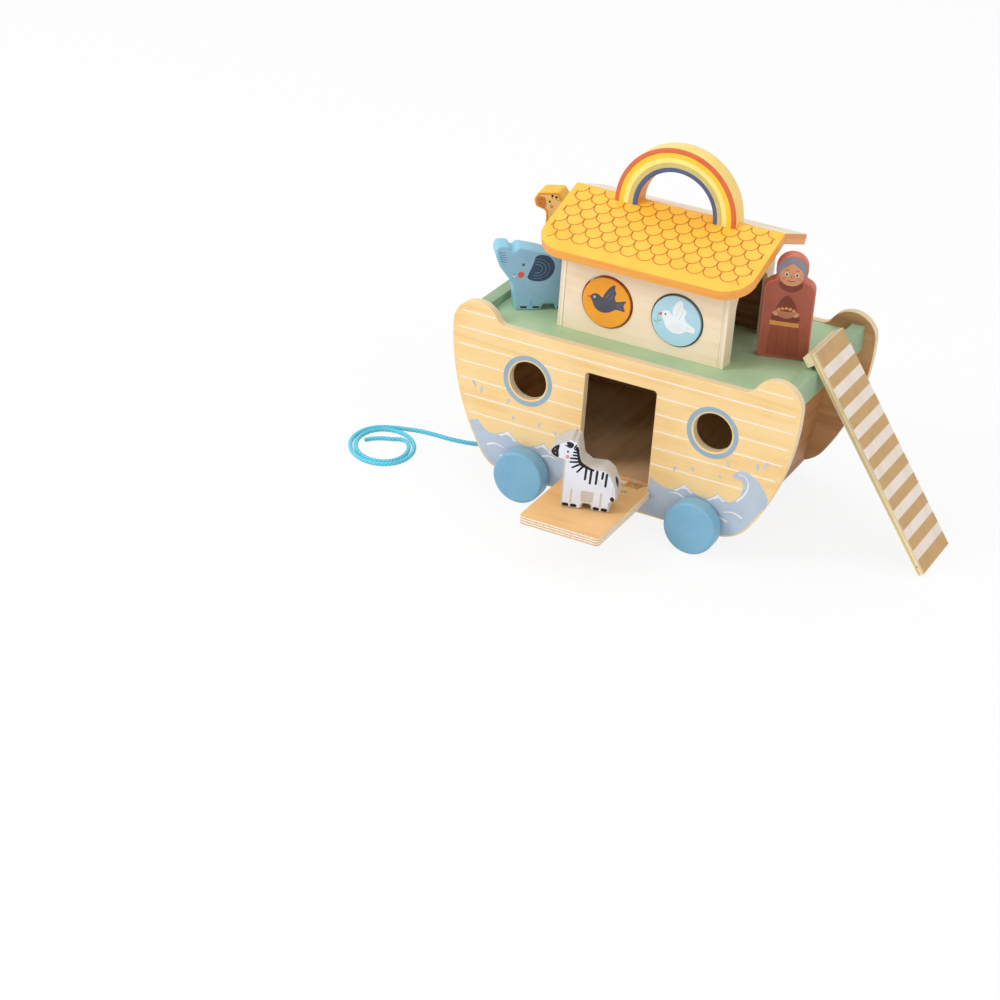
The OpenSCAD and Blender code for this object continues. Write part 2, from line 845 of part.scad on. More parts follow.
// stop knot on the inner face of the bow wall
module cord_knot() {
    color("#3cbedc") translate(cord_start) rotate([0, 90 - wall_lean, 0]) puck(knot_r, knot_len, knot_round);
}

// tube swept along a list of points
function along(p, i) = unit(p[min(i + 1, len(p) - 1)] - p[max(i - 1, 0)]);
function tube_ring(at, way, r, n) = let (u = unit(cross([0, 0, 1], way)), v = cross(way, u))
    [for (k = [0:n - 1]) at + r * (cos(360 * (k + 0.5) / n) * u + sin(360 * (k + 0.5) / n) * v)];

module tube(p, r, n, first_way, last_way) {
    last = len(p) - 1;
    rings = [
        for (i = [0:last])
            tube_ring(p[i], i == 0 ? first_way : i == last ? last_way : along(p, i), r, n)
    ];
    polyhedron(
        points = [for (ring = rings) each ring],
        faces = concat(
            [[for (k = [0:n - 1]) k]],
            [
                for (i = [0:last - 1])
                    for (k = [0:n - 1])
                        [i * n + k, (i + 1) * n + k, (i + 1) * n + (k + 1) % n]
            ],
            [
                for (i = [0:last - 1])
                    for (k = [0:n - 1])
                        [i * n + k, (i + 1) * n + (k + 1) % n, i * n + (k + 1) % n]
            ],
            [[for (k = [n - 1:-1:0]) last * n + k]]
        )
    );
}

coil_way = unit(coil_axes(0, 0) - coil_axes(1, 0));

module pull_cord() {
    color("#3cbedc") tube(cord_route, cord_r, cord_sides, wall_normal, coil_way);
}

module cord_coil() {
    last = len(coil_points) - 1;
    end_way = unit(coil_points[last] - coil_points[last - 1]);
    color("#3cbedc") tube(coil_points, cord_r, coil_sides, coil_way, end_way);
}

// length of the cord and the least gap between turns of the coil
function run_length(p) = [for (i = [0:len(p) - 2]) norm(p[i + 1] - p[i])] * [for (i = [0:len(p) - 2]) 1];
function off_line(q, a, b) = let (t = min(max((q - a) * (b - a) / ((b - a) * (b - a)), 0), 1))
    norm(q - a - t * (b - a));
coil_gap = min([
    for (i = [0:len(coil_points) - 1])
        for (j = [i + 6:1:len(coil_points) - 2])
            off_line(coil_points[i], coil_points[j], coil_points[j + 1])
]) - cord_d;
echo(cord_length = run_length(cord_route) + run_length(coil_points), coil_gap = coil_gap);

front_panel();
back_panel();
hold_floor();
bow_wall();
stern_wall();
deck();
bow_rail();
stern_rail();
cabin_front_wall();
cabin_back_wall();
cabin_bow_wall();
cabin_stern_wall();
window_bar();
bow_spindle();
stern_spindle();
bow_sill_leaf();
stern_sill_leaf();
bow_sill_screw();
stern_sill_screw();
bow_hinge_pin();
stern_hinge_pin();
cord_knot();
pull_cord();
cord_coil();
bow_axle();
bow_front_wheel();
bow_back_wheel();
stern_axle();
stern_front_wheel();
stern_back_wheel();
ramp_door();
bow_ramp_leaf();
stern_ramp_leaf();
bow_ramp_screw();
stern_ramp_screw();
roof_front_slab();
roof_back_slab();
rainbow_handle();
bow_handle_dowel();
stern_handle_dowel();
bow_batten();
stern_batten();
dark_bird_disc();
pale_bird_disc();
gangway_board();
gangway_cleat();
zebra();
elephant();
giraffe();
woman_figure();
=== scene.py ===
import json
from math import atan2, cos, degrees, hypot, pi, radians, sin, sqrt, tan

import bpy
import bmesh
from mathutils import Matrix, Vector
from mathutils.geometry import tessellate_polygon

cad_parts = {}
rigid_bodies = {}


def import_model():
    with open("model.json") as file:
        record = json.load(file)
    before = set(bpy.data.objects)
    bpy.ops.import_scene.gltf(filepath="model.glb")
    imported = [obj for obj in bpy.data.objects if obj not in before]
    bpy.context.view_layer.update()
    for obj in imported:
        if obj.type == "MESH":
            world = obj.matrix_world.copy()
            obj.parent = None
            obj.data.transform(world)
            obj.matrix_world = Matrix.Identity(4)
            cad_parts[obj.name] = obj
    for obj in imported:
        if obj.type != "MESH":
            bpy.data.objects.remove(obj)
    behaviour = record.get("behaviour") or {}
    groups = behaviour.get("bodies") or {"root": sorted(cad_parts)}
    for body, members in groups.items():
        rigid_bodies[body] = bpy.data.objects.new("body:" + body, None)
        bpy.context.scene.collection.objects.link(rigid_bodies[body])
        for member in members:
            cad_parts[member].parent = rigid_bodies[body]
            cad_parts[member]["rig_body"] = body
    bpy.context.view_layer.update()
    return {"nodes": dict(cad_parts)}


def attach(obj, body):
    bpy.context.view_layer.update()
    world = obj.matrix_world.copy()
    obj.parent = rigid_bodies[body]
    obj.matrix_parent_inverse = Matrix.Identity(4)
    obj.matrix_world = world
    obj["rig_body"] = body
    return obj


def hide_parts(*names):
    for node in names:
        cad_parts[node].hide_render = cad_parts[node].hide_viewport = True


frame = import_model()
mm = 0.001
bodyOf = {name: obj["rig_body"] for name, obj in frame["nodes"].items()}
sceneLinks = bpy.context.scene.collection.objects
print("frame loaded:", len(bodyOf), "nodes")


def addObject(name, data):
    obj = bpy.data.objects.new(name, data)
    sceneLinks.link(obj)
    return obj


def meshFrom(bm, name, materials, sharp=None):
    bmesh.ops.recalc_face_normals(bm, faces=bm.faces)
    mesh = bpy.data.meshes.new(name)
    bm.to_mesh(mesh)
    bm.free()
    for material in materials:
        mesh.materials.append(material)
    if sharp is not None:
        mesh.shade_smooth()
        mesh.set_sharp_from_angle(angle=radians(sharp))
    return mesh


# faces between neighbouring rings of points, and from a ring to a tip
def skinRings(bm, rings):
    return [bm.faces.new((a[k], a[(k + 1) % len(a)], b[(k + 1) % len(a)], b[k]))
            for a, b in zip(rings, rings[1:]) for k in range(len(a))]


def fan(bm, ring, tip):
    point = bm.verts.new(tip)
    for a, b in zip(ring, ring[1:] + ring[:1]):
        bm.faces.new((a, b, point))


# camera at the photograph's angle, millimetres and degrees
cameraSetup = {
    "azimuth": 25.69, "elevation": 27.82, "roll": 4.11,
    "target": (-104.05, -90, -12.15), "distance": 2272.85, "lens": 93.36,
}


def placeCamera(setup):
    az, el, roll = (radians(setup[key]) for key in ("azimuth", "elevation", "roll"))
    back = Vector((sin(az) * cos(el), -cos(az) * cos(el), sin(el)))
    level = Vector((cos(az), sin(az), 0))
    above = back.cross(level)
    right = level * cos(roll) + above * sin(roll)
    up = above * cos(roll) - level * sin(roll)
    data = bpy.data.cameras.new("photoCamera")
    data.lens = setup["lens"]
    data.sensor_width = 36
    data.clip_start = 0.05
    data.clip_end = 60
    camera = addObject("photoCamera", data)
    spot = (Vector(setup["target"]) + back * setup["distance"]) * mm
    camera.matrix_world = Matrix.Translation(spot) @ Matrix((right, up, back)).transposed().to_4x4()
    bpy.context.scene.camera = camera


placeCamera(cameraSetup)
print("camera placed")


# shader building
def srgb(r, g, b):
    def lin(c):
        c /= 255
        return c / 12.92 if c <= 0.04045 else ((c + 0.055) / 1.055) ** 2.4
    return (lin(r), lin(g), lin(b), 1)


def addNode(tree, kind, inputs=None, **settings):
    made = tree.nodes.new(kind)
    for key, value in settings.items():
        setattr(made, key, value)
    for key, value in (inputs or {}).items():
        if isinstance(value, bpy.types.NodeSocket):
            tree.links.new(value, made.inputs[key])
        else:
            made.inputs[key].default_value = value
    return made


def calc(tree, how, a, b=0, c=0):
    return addNode(tree, "ShaderNodeMath", {0: a, 1: b, 2: c}, operation=how).outputs[0]


# colour a turns into b where the value rises from low to high, at most by a share
def blend(tree, value, low, high, a, b, most=1):
    rise = {"Value": value, "From Min": low, "From Max": high, "To Max": most}
    share = addNode(tree, "ShaderNodeMapRange", rise, interpolation_type="SMOOTHSTEP").outputs["Result"]
    a, b = (srgb(*c) if isinstance(c, tuple) and len(c) == 3 else c for c in (a, b))
    return addNode(tree, "ShaderNodeMix", {0: share, 6: a, 7: b}, data_type="RGBA").outputs[2]


def noise(tree, coords, freq, detail, rough, twist=0):
    freq = freq if isinstance(freq, tuple) else (freq, freq, freq)
    spread = addNode(tree, "ShaderNodeMapping", {"Vector": coords, "Scale": freq}).outputs[0]
    kind = {"Vector": spread, "Scale": 1, "Detail": detail, "Roughness": rough, "Distortion": twist}
    return addNode(tree, "ShaderNodeTexNoise", kind).outputs[0]


def newMaterial(name):
    material = bpy.data.materials.new(name)
    material.use_nodes = True
    tree = material.node_tree
    where = addNode(tree, "ShaderNodeTexCoord").outputs
    return material, tree, tree.nodes["Principled BSDF"], where["Object"], where["Normal"]


# colour, roughness spread by one texture, relief from another
def finishSurface(tree, shader, colour, spread, rough, relief=None, strength=0, depth=0.0003, shine=None):
    tree.links.new(colour, shader.inputs["Base Color"])
    gloss = addNode(tree, "ShaderNodeMapRange", {"Value": spread, "To Min": rough[0], "To Max": rough[1]})
    tree.links.new(gloss.outputs["Result"], shader.inputs["Roughness"])
    if relief is not None:
        bump = addNode(tree, "ShaderNodeBump", {"Height": relief, "Strength": strength, "Distance": depth})
        tree.links.new(bump.outputs[0], shader.inputs["Normal"])
    if shine is not None:
        shader.inputs["Specular IOR Level"].default_value = shine


def alongGrain(grain, slow, fast):
    return tuple(slow if axis == grain else fast for axis in "xyz")


def axisOf(tree, vector, axis):
    return addNode(tree, "ShaderNodeSeparateXYZ", {"Vector": vector}).outputs["xyz".index(axis)]


# bare wood: figure and pores along the grain, glued layers on the edges, a darker brown on one face
def bareWood(name, finish):
    material, tree, shader, coords, normal = newMaterial(name)
    grain, axis = finish["grain"], finish.get("depthAxis")
    figure = noise(tree, coords, alongGrain(grain, 7, 95), 4, 0.6, 0.7)
    pores = noise(tree, coords, alongGrain(grain, 55, 1500), 2, 0.5)
    cloud = noise(tree, coords, 22, 2, 0.5)
    wood = blend(tree, figure, 0.42, 0.72, finish["face"], finish["figure"])
    wood = blend(tree, cloud, 0.35, 0.85, wood, finish["cloud"])
    # a darker brown on the face picked by side: the panels' inner faces, and painted shade on the cabin
    # walls' inner faces
    if "innerTone" in finish:
        side, colour, deep = finish["innerTone"]
        facing = calc(tree, "MULTIPLY", axisOf(tree, normal, axis), side)
        wood = blend(tree, facing, 0.6, 0.8, wood, blend(tree, figure, 0.35, 0.75, colour, deep))
    if axis:
        low, high = finish["depth"]
        layers = finish["layers"] / (high - low)
        depth = calc(tree, "MULTIPLY_ADD", axisOf(tree, coords, axis), layers / mm, -low * layers)
        odd = calc(tree, "PINGPONG", depth, 1)
        endGrain = noise(tree, coords, 420, 3, 0.6)
        edge = blend(tree, odd, 0.44, 0.56, finish["edge"], finish["edgeDark"])
        edge = blend(tree, endGrain, 0.45, 0.8, edge, finish["edgeDark"])
        flat = calc(tree, "ABSOLUTE", axisOf(tree, normal, axis))
        wood = blend(tree, flat, 0.55, 0.8, edge, wood)
    wood = blend(tree, pores, 0.55, 0.8, wood, finish["figure"], finish.get("pores", 0.35))
    finishSurface(tree, shader, wood, figure, (0.42, 0.58), pores, 0.16, shine=0.35)
    return material


# paint on wood: a faint brushed mottle, the grain just felt through it, another tone on the cut edges (on the
# window discs a darker one, painted shade)
def paintedWood(name, finish):
    material, tree, shader, coords, normal = newMaterial(name)
    cloud = noise(tree, coords, 38, 4, 0.6)
    figure = noise(tree, coords, alongGrain(finish.get("grain", "x"), 18, 420), 3, 0.55, 0.3)
    speck = noise(tree, coords, 1500, 2, 0.6)
    paint = blend(tree, cloud, 0.3, 0.75, finish["paint"], finish["shade"])
    paint = blend(tree, figure, 0.5, 0.8, paint, finish["shade"], 0.35)
    if "edge" in finish:
        facing = axisOf(tree, normal, finish["edgeAxis"])
        if finish.get("bothSides", True):
            facing = calc(tree, "ABSOLUTE", facing)
        edge = blend(tree, figure, 0.35, 0.75, finish["edge"], finish["edgeShade"])
        paint = blend(tree, facing, 0.62, 0.8, edge, paint)
    # inside the bore a dark brown: painted shade in the drilled hole
    if "bore" in finish:
        midY, midZ, radius = finish["bore"]
        y = calc(tree, "SUBTRACT", axisOf(tree, coords, "y"), midY * mm)
        z = calc(tree, "SUBTRACT", axisOf(tree, coords, "z"), midZ * mm)
        away = calc(tree, "SQRT", calc(tree, "MULTIPLY_ADD", y, y, calc(tree, "MULTIPLY", z, z)))
        paint = blend(tree, away, (radius + 0.1) * mm, (radius + 0.3) * mm, (92, 72, 58), paint)
    rough, shine = finish.get("rough", 0.45), finish.get("shine", 0.4)
    felt = calc(tree, "MULTIPLY_ADD", speck, 0.35, figure)
    finishSurface(tree, shader, paint, cloud, (rough - 0.06, rough + 0.1), felt, 0.12, shine=shine)
    return material


# printing ink: a thin even colour with a fine screen of the wood below
def printInk(name, colour, thin=0.12, under=(246, 214, 150)):
    material, tree, shader, coords = newMaterial(name)[:4]
    speck = noise(tree, coords, 900, 3, 0.65)
    cloud = noise(tree, coords, 60, 3, 0.5)
    tone = blend(tree, speck, 0.5, 0.8, colour, under, thin)
    tone = blend(tree, cloud, 0.4, 0.8, tone, tuple(max(0, c - 10) for c in colour))
    finishSurface(tree, shader, tone, speck, (0.42, 0.56), speck, 0.05, 0.0002, 0.35)
    return material


def platedSteel(name):
    material, tree, shader, coords = newMaterial(name)[:4]
    brushed = noise(tree, coords, (4000, 500, 500), 3, 0.6)
    tone = blend(tree, brushed, 0.35, 0.7, (206, 206, 202), (168, 168, 166))
    finishSurface(tree, shader, tone, brushed, (0.22, 0.4))
    shader.inputs["Metallic"].default_value = 0.9
    return material


def braidedYarn(name, finish):
    material, tree, shader, coords = newMaterial(name)[:4]
    strandToneAndShade = addNode(tree, "ShaderNodeAttribute", attribute_name="braid").outputs["Fac"]
    fuzz = noise(tree, coords, 2600, 3, 0.6)
    # deep colour low on the strands: painted shade in the grooves, and a darker tone on the second strand
    # family
    tone = blend(tree, strandToneAndShade, 0.15, 0.75, finish["deep"], finish["yarn"])
    tone = blend(tree, fuzz, 0.5, 0.8, tone, finish["light"], 0.4)
    finishSurface(tree, shader, tone, fuzz, (0.6, 0.8), fuzz, 0.3, 0.0002)
    shader.inputs["Sheen Weight"].default_value = 0.25
    return material


# pull cord: out of the bow wall, down to the floor and into a flat coil
cordSetup = {
    "start": (-104.3653, -15, 26.0304), "wallNormal": (-0.99167, 0, -0.1288), "through": 12,
    "run": [(-125, -16, 20), (-133, -18, 14.5), (-141, -21, 9), (-149, -25, 4.5), (-158, -30, 2.1),
        (-167, -33, 2.1), (-177, -35, 2.1), (-187, -36, 2.1), (-197, -36, 2.1), (-207, -36.5, 2.1),
        (-217, -38, 2.1), (-227, -41, 2.1)],
    "coilMid": (-227, -82), "coilTurn": 27, "coilWide": 31, "coilDeep": 38, "coilPitch": 4.9,
    "insetTo": 750, "tailFrom": 720, "tailTurn": 80, "tailTo": 860, "tailDeep": 15,
    "lie": 2.1, "diameter": 4, "smooth": 12, "step": 0.45, "sides": 20, "plait": 3.4, "relief": 0.12,
    "tip": 0.5, "knotSteps": 160, "knotSides": 14, "knotSize": 0.93, "knotStand": 4, "knotDepth": 2,
    # deep: painted shade in the grooves between strands
    "finish": {"yarn": (98, 217, 238), "deep": (34, 140, 184), "light": (184, 238, 248)},
}


def cordRoute(setup):
    start = Vector(setup["start"])
    turn = radians(setup["coilTurn"])
    midX, midY = setup["coilMid"]

    def onCoil(a, b):
        return Vector((midX + a * cos(turn) - b * sin(turn),
                    midY + a * sin(turn) + b * cos(turn), setup["lie"]))

    def coilAt(f):
        inset = setup["coilPitch"] * (min(f, setup["insetTo"]) - 90) / 360
        s = min(max((f - setup["tailFrom"]) / setup["tailTurn"], 0), 1)
        tail = s * s * (3 - 2 * s)
        wide = setup["coilWide"] - inset
        deep = (setup["coilDeep"] - inset) * (1 - tail) + setup["tailDeep"] * tail
        return onCoil(wide * cos(radians(f)), deep * sin(radians(f)))

    points = [start, start + Vector(setup["wallNormal"]) * setup["through"]]
    points += [Vector(p) for p in setup["run"]]
    points += [onCoil(2 * setup["diameter"], setup["coilDeep"]), onCoil(setup["diameter"], setup["coilDeep"])]
    points += [coilAt(f) for f in range(90, setup["tailFrom"] + 1, 15)]
    points += [coilAt(f) for f in range(setup["tailFrom"] + 14, setup["tailTo"] + 1, 14)]
    return points


# point at a place on a line, which goes round or stops at its ends
def pointAt(points, i, closed=False):
    last = len(points) - 1
    return points[i % (last + 1)] if closed else points[min(max(i, 0), last)]


def smoothLine(points, steps, closed=False):
    made = []
    for i in range(len(points) if closed else len(points) - 1):
        p0, p1, p2, p3 = (pointAt(points, i + k, closed) for k in (-1, 0, 1, 2))
        for s in range(steps):
            t = s / steps
            square = (2 * p0 - 5 * p1 + 4 * p2 - p3) * t * t
            cube = (3 * p1 - p0 - 3 * p2 + p3) * t ** 3
            made.append(0.5 * ((2 * p1) + (p2 - p0) * t + square + cube))
    if not closed:
        made.append(points[-1].copy())
    return made


def evenLine(points, step):
    made = [points[0].copy()]
    left = step
    for a, b in zip(points, points[1:]):
        span = (b - a).length
        done = 0
        while span - done >= left:
            done += left
            made.append(a.lerp(b, done / span))
            left = step
        left -= span - done
    if (made[-1] - points[-1]).length > step * 0.3:
        made.append(points[-1].copy())
    return made


# tube with two crossing families of strands standing out of it
def plaitedTube(name, path, setup, material, closed=False):
    radius = setup["diameter"] / 2
    sides = setup["sides"]
    bm = bmesh.new()
    strandToneAndShade = bm.verts.layers.float.new("braid")
    way = (path[1] - path[0]).normalized()
    side = way.cross(Vector((0, 0, 1))).normalized()
    rings = []
    run = 0
    for i, point in enumerate(path):
        way = (pointAt(path, i + 1, closed) - pointAt(path, i - 1, closed)).normalized()
        side = (side - way * side.dot(way)).normalized()
        other = way.cross(side)
        if i:
            run += (point - path[i - 1]).length
        ring = []
        for k in range(sides):
            angle = 2 * pi * k / sides
            twist = 2 * pi * run / setup["plait"]
            over = cos((4 * angle + twist) / 2) ** 2
            under = cos((4 * angle - twist) / 2) ** 2
            high = max(over, under)
            r = radius * (1 - setup["relief"] * (1 - high))
            vert = bm.verts.new((point + (side * cos(angle) + other * sin(angle)) * r) * mm)
            # strand height, low in the grooves between strands, painted shade there; the second strand family
            # a quarter darker
            vert[strandToneAndShade] = high if over > under else 0.75 * high
            ring.append(vert)
        rings.append(ring)
    skinRings(bm, rings + rings[:1] if closed else rings)
    if not closed:
        for ring, lift in ((rings[0], path[0] - path[1]), (rings[-1], path[-1] - path[-2])):
            middle = sum((v.co for v in ring), Vector()) / sides
            fan(bm, ring, middle + lift.normalized() * setup["tip"] * mm)
    return addObject(name, meshFrom(bm, name, [material], 180))


def makeCord(setup):
    yarn = braidedYarn("turquoiseYarn", setup["finish"])
    line = smoothLine(cordRoute(setup), setup["smooth"])
    for point in line:
        point.z = max(point.z, setup["lie"])
    path = evenLine(line, setup["step"])
    cord = plaitedTube("pull_cord_yarn", path, setup, yarn)
    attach(cord, "hull")
    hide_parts("pull_cord", "cord_coil")
    # stop knot inside the hold: a trefoil of the same yarn
    normal = -Vector(setup["wallNormal"])
    acrossA = Vector((0, 1, 0))
    acrossB = normal.cross(acrossA)
    loop = []
    for i in range(setup["knotSteps"]):
        t = 2 * pi * i / setup["knotSteps"]
        a = (sin(t) + 2 * sin(2 * t)) * setup["knotSize"]
        b = (cos(t) - 2 * cos(2 * t)) * setup["knotSize"]
        c = setup["knotStand"] - sin(3 * t) * setup["knotDepth"]
        loop.append(Vector(setup["start"]) + acrossA * a + acrossB * b + normal * c)
    knot = plaitedTube("cord_knot_yarn", loop, {**setup, "sides": setup["knotSides"]}, yarn, closed=True)
    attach(knot, "hull")
    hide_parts("cord_knot")


makeCord(cordSetup)


# CAD shape with its edges eased, in a new piece that stands for the node
easeSetup = {"weld": 2e-6, "flat": 0.2, "edge": 32, "sharp": 40, "weight": 90}


def dress(node, material, ease, steps=2, basis=None):
    bm = bmesh.new()
    bm.from_mesh(frame["nodes"][node].data)
    if basis is not None:
        bm.transform(basis.inverted())
    bmesh.ops.remove_doubles(bm, verts=bm.verts, dist=easeSetup["weld"])
    bmesh.ops.dissolve_limit(bm, angle_limit=radians(easeSetup["flat"]), verts=bm.verts, edges=bm.edges)
    if ease > 0:
        limit = radians(easeSetup["edge"])
        sharp = [e for e in bm.edges if len(e.link_faces) == 2 and e.calc_face_angle(0) > limit]
        bmesh.ops.bevel(bm, geom=sharp, offset=ease * mm, offset_type="OFFSET", segments=steps, profile=0.5,
                affect="EDGES", clamp_overlap=False)
    mesh = meshFrom(bm, node + "_eased", [material], easeSetup["sharp"])
    if mesh.has_custom_normals:
        mesh.attributes.remove(mesh.attributes["custom_normal"])
    piece = addObject(node + "_piece", mesh)
    if basis is not None:
        piece.matrix_world = basis
    weigh = piece.modifiers.new("evenNormals", "WEIGHTED_NORMAL")
    weigh.keep_sharp = True
    weigh.weight = easeSetup["weight"]
    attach(piece, bodyOf[node])
    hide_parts(node)


# printed shapes: thin closed slabs of ink, each an ink, a level and loops of (u, v) millimetres on a plane
inkSetup = {"below": 0.05, "above": 0.05, "level": 0.04}


def printLayer(name, carrier, place, shapes):
    bm = bmesh.new()
    inks = []
    for ink, level, *loops in shapes:
        if ink not in inks:
            inks.append(ink)
        top = (inkSetup["above"] + inkSetup["level"] * level) * mm
        base = -inkSetup["below"] * mm
        flat = [[Vector((u * mm, v * mm, 0)) for u, v in loop] for loop in loops]
        corners = [p for loop in flat for p in loop]
        upper = [bm.verts.new((p.x, p.y, top)) for p in corners]
        lower = [bm.verts.new((p.x, p.y, base)) for p in corners]
        faces = []
        for a, b, c in tessellate_polygon(flat):
            if len({a, b, c}) == 3:
                faces.append(bm.faces.new((upper[a], upper[b], upper[c])))
                faces.append(bm.faces.new((lower[c], lower[b], lower[a])))
        first = 0
        for loop in flat:
            for i in range(len(loop)):
                j = (i + 1) % len(loop)
                faces.append(bm.faces.new((lower[first + i], lower[first + j], upper[first + j],
                            upper[first + i])))
            first += len(loop)
        for face in faces:
            face.material_index = inks.index(ink)
    piece = addObject(name, meshFrom(bm, name, inks))
    piece.matrix_world = place
    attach(piece, bodyOf[carrier])


def planeAt(origin, right, up):
    right, up = Vector(right).normalized(), Vector(up).normalized()
    turn = Matrix((right, up, right.cross(up))).transposed().to_4x4()
    return Matrix.Translation(Vector(origin) * mm) @ turn


# points moved to a place and turned
def turned(points, u, v, angle):
    c, s = cos(radians(angle)), sin(radians(angle))
    return [(u + x * c - y * s, v + x * s + y * c) for x, y in points]


def ovalOf(u, v, a, b, tilt=0, count=28):
    turns = [2 * pi * i / count for i in range(count)]
    return turned([(a * cos(t), b * sin(t)) for t in turns], u, v, tilt)


def ringOf(u, v, r, count=40):
    return ovalOf(u, v, r, r, 0, count)


def strokeOf(points, width, endWidth=None, steps=5):
    line = [Vector(p) for p in points]
    if len(line) > 2:
        line = smoothLine(line, steps)
    endWidth = width if endWidth is None else endWidth
    left, right = [], []
    last = len(line) - 1
    for i, p in enumerate(line):
        way = (pointAt(line, i + 1) - pointAt(line, i - 1)).normalized()
        side = Vector((-way.y, way.x)) * (width + (endWidth - width) * i / last) / 2
        left.append(p + side)
        right.append(p - side)
    tipWay = (line[-1] - line[-2]).normalized() * endWidth * 0.45
    startWay = (line[0] - line[1]).normalized() * width * 0.45
    loop = left + [line[-1] + tipWay] + right[::-1] + [line[0] + startWay]
    return [(p.x, p.y) for p in loop]


def blobOf(points, steps=4):
    return [(p.x, p.y) for p in smoothLine([Vector(p) for p in points], steps, closed=True)]


def dropOf(u, v, length, width, angle):
    made = []
    for i in range(18):
        t = 2 * pi * i / 18
        x = -cos(t) * length / 2
        made.append((x, sin(t) * width / 2 * (0.35 + 0.65 * (x / length + 0.5))))
    return turned(made, u, v, angle)


def strokes(ink, level, width, endWidth, *lines):
    return [(ink, level, strokeOf(line, width, endWidth)) for line in lines]


def hooves(ink, level, places, low, high, foot, top):
    return [(ink, level, blobOf([(u - foot, low), (u + foot, low), (u + top, high), (u - top, high)]))
            for u in places]


def scaled(shapes, wide, high):
    return [(ink, level, *([(u * wide, v * high) for u, v in loop] for loop in loops))
            for ink, level, *loops in shapes]


# hull panels with their plank lines, portholes and water
hull = {
    "halfLength": 160.5, "hornX": 138, "hornZ": 146, "hornR": 22.5, "sideR": 215,
    "bilgeR": 35, "bottom": 15, "top": 152, "outY": 90, "inY": 82,
    "portholeX": 86, "portholeZ": 108, "ring": (23.2, 19), "wheelX": 81, "axleZ": 23.6,
    "doorHalf": 33, "doorSill": 37.3, "doorTop": 131,
    "plankLines": (157.5, 142, 126.5, 111, 95.5, 80, 64.5), "lineWidth": 1.35, "lineInset": 4.5,
    "finish": {"face": (247, 212, 150), "figure": (241, 199, 132), "cloud": (250, 219, 162),
        "edge": (243, 224, 188), "edgeDark": (229, 202, 158), "grain": "x", "layers": 5, "pores": 0.3},
    "bilgeRise": 18.7, "inside": ((208, 164, 116), (186, 138, 92)),
}
bilgeZ = hull["bottom"] + hull["bilgeR"]
bilgeX = (hull["halfLength"] - hull["sideR"]
        + sqrt((hull["sideR"] - hull["bilgeR"]) ** 2 - (hull["hornZ"] - bilgeZ) ** 2))


# half length of the panel at a height, drawn in from the edge
def panelReach(z, inset):
    h = hull
    if z > h["hornZ"]:
        rise = (h["hornR"] - inset) ** 2 - (z - h["hornZ"]) ** 2
        return h["hornX"] + sqrt(rise) if rise > 0 else 0
    if z > bilgeZ - h["bilgeRise"]:
        r = h["sideR"] - inset
        return h["halfLength"] - h["sideR"] + sqrt(r * r - (z - h["hornZ"]) ** 2)
    r = h["bilgeR"] - inset
    return bilgeX + sqrt(max(r * r - (z - bilgeZ) ** 2, 0))


# water line: plain rolling crests, highest towards the stern and under the sill at the door
waterSetup = {
    "middle": [(0, 54), (18, 45)], "near": [(36, 52), (52, 46), (66, 55), (84, 47)],
    "bow": [(101, 57), (117, 50), (131, 60), (141, 57)],
    "stern": [(97, 55), (108, 49), (124, 60), (141, 62)],
    "roller": [(101, 47), (109, 50), (115, 56), (118, 64), (117.5, 70.5), (113.5, 73.5), (109, 72.5),
        (110, 77.5), (115.5, 81), (122.5, 80.5), (129.5, 76.5), (135.5, 70.5), (140.5, 62.5), (138, 52),
        (120, 44)],
    "curl": [(113.5, 77.4), (120, 76), (122.6, 69), (120, 60), (114, 52.5)], "caps": [-101, -66, 66, 96],
    "inset": 1.5, "halfRun": 150, "step": 0.75, "edgeStep": 1.2, "axleHole": 4.9,
    "foam": [(60, 44, 7, 1.6), (112, 41, 8, 1.8), (100, 33, 7, 1.4)],
    "drops": [(56, 66, 5.5, 3, 70), (72, 70, 5, 2.8, 110), (103, 84, 6, 3.2, 115), (129, 88, 7, 3.4, 95),
        (136, 92, 7.5, 3.6, 60), (97, 70, 4.5, 2.6, 100)],
}


def waterHeight(x, doorway=True):
    crests = waterSetup["middle"] + waterSetup["near"] + waterSetup["stern" if x > 0 else "bow"]
    x = abs(x)
    if doorway and x < hull["doorHalf"] + 1.5:
        return hull["doorSill"] - 1.2
    for (x0, z0), (x1, z1) in zip(crests, crests[1:]):
        if x0 <= x <= x1:
            t = (x - x0) / (x1 - x0)
            lift = t ** 1.9 if z1 > z0 else 1 - (1 - t) ** 1.9
            return z0 + (z1 - z0) * lift
    return crests[-1][1]


# white cap that hangs from a crest
def foamCap(x, reach=9):
    upper, lower = [], []
    for i in range(25):
        t = i / 12 - 1
        at = x + t * reach
        top = waterHeight(at) - 0.9
        upper.append((at, top))
        lower.append((at, top - 0.3 - 3.4 * (1 - t * t) * (0.75 + 0.25 * cos(t * 9))))
    return upper[::-1] + lower


def waterLoops(doorway):
    w = waterSetup
    inset = w["inset"]
    tops = []
    x = -w["halfRun"]
    while x <= w["halfRun"]:
        z = waterHeight(x, doorway)
        if abs(x) < panelReach(z, inset):
            tops.append((x, z))
        x += w["step"]

    def edgeBelow(z):
        edge = []
        while z > hull["bottom"] + inset + 0.05:
            edge.append((panelReach(z, inset), z))
            z -= w["edgeStep"]
        return edge + [(bilgeX, hull["bottom"] + inset)]

    loop = tops + edgeBelow(tops[-1][1]) + [(-u, v) for u, v in edgeBelow(tops[0][1])[::-1]]
    holes = [ringOf(s * hull["wheelX"], hull["axleZ"], w["axleHole"], 32) for s in (-1, 1)]
    return [loop] + holes


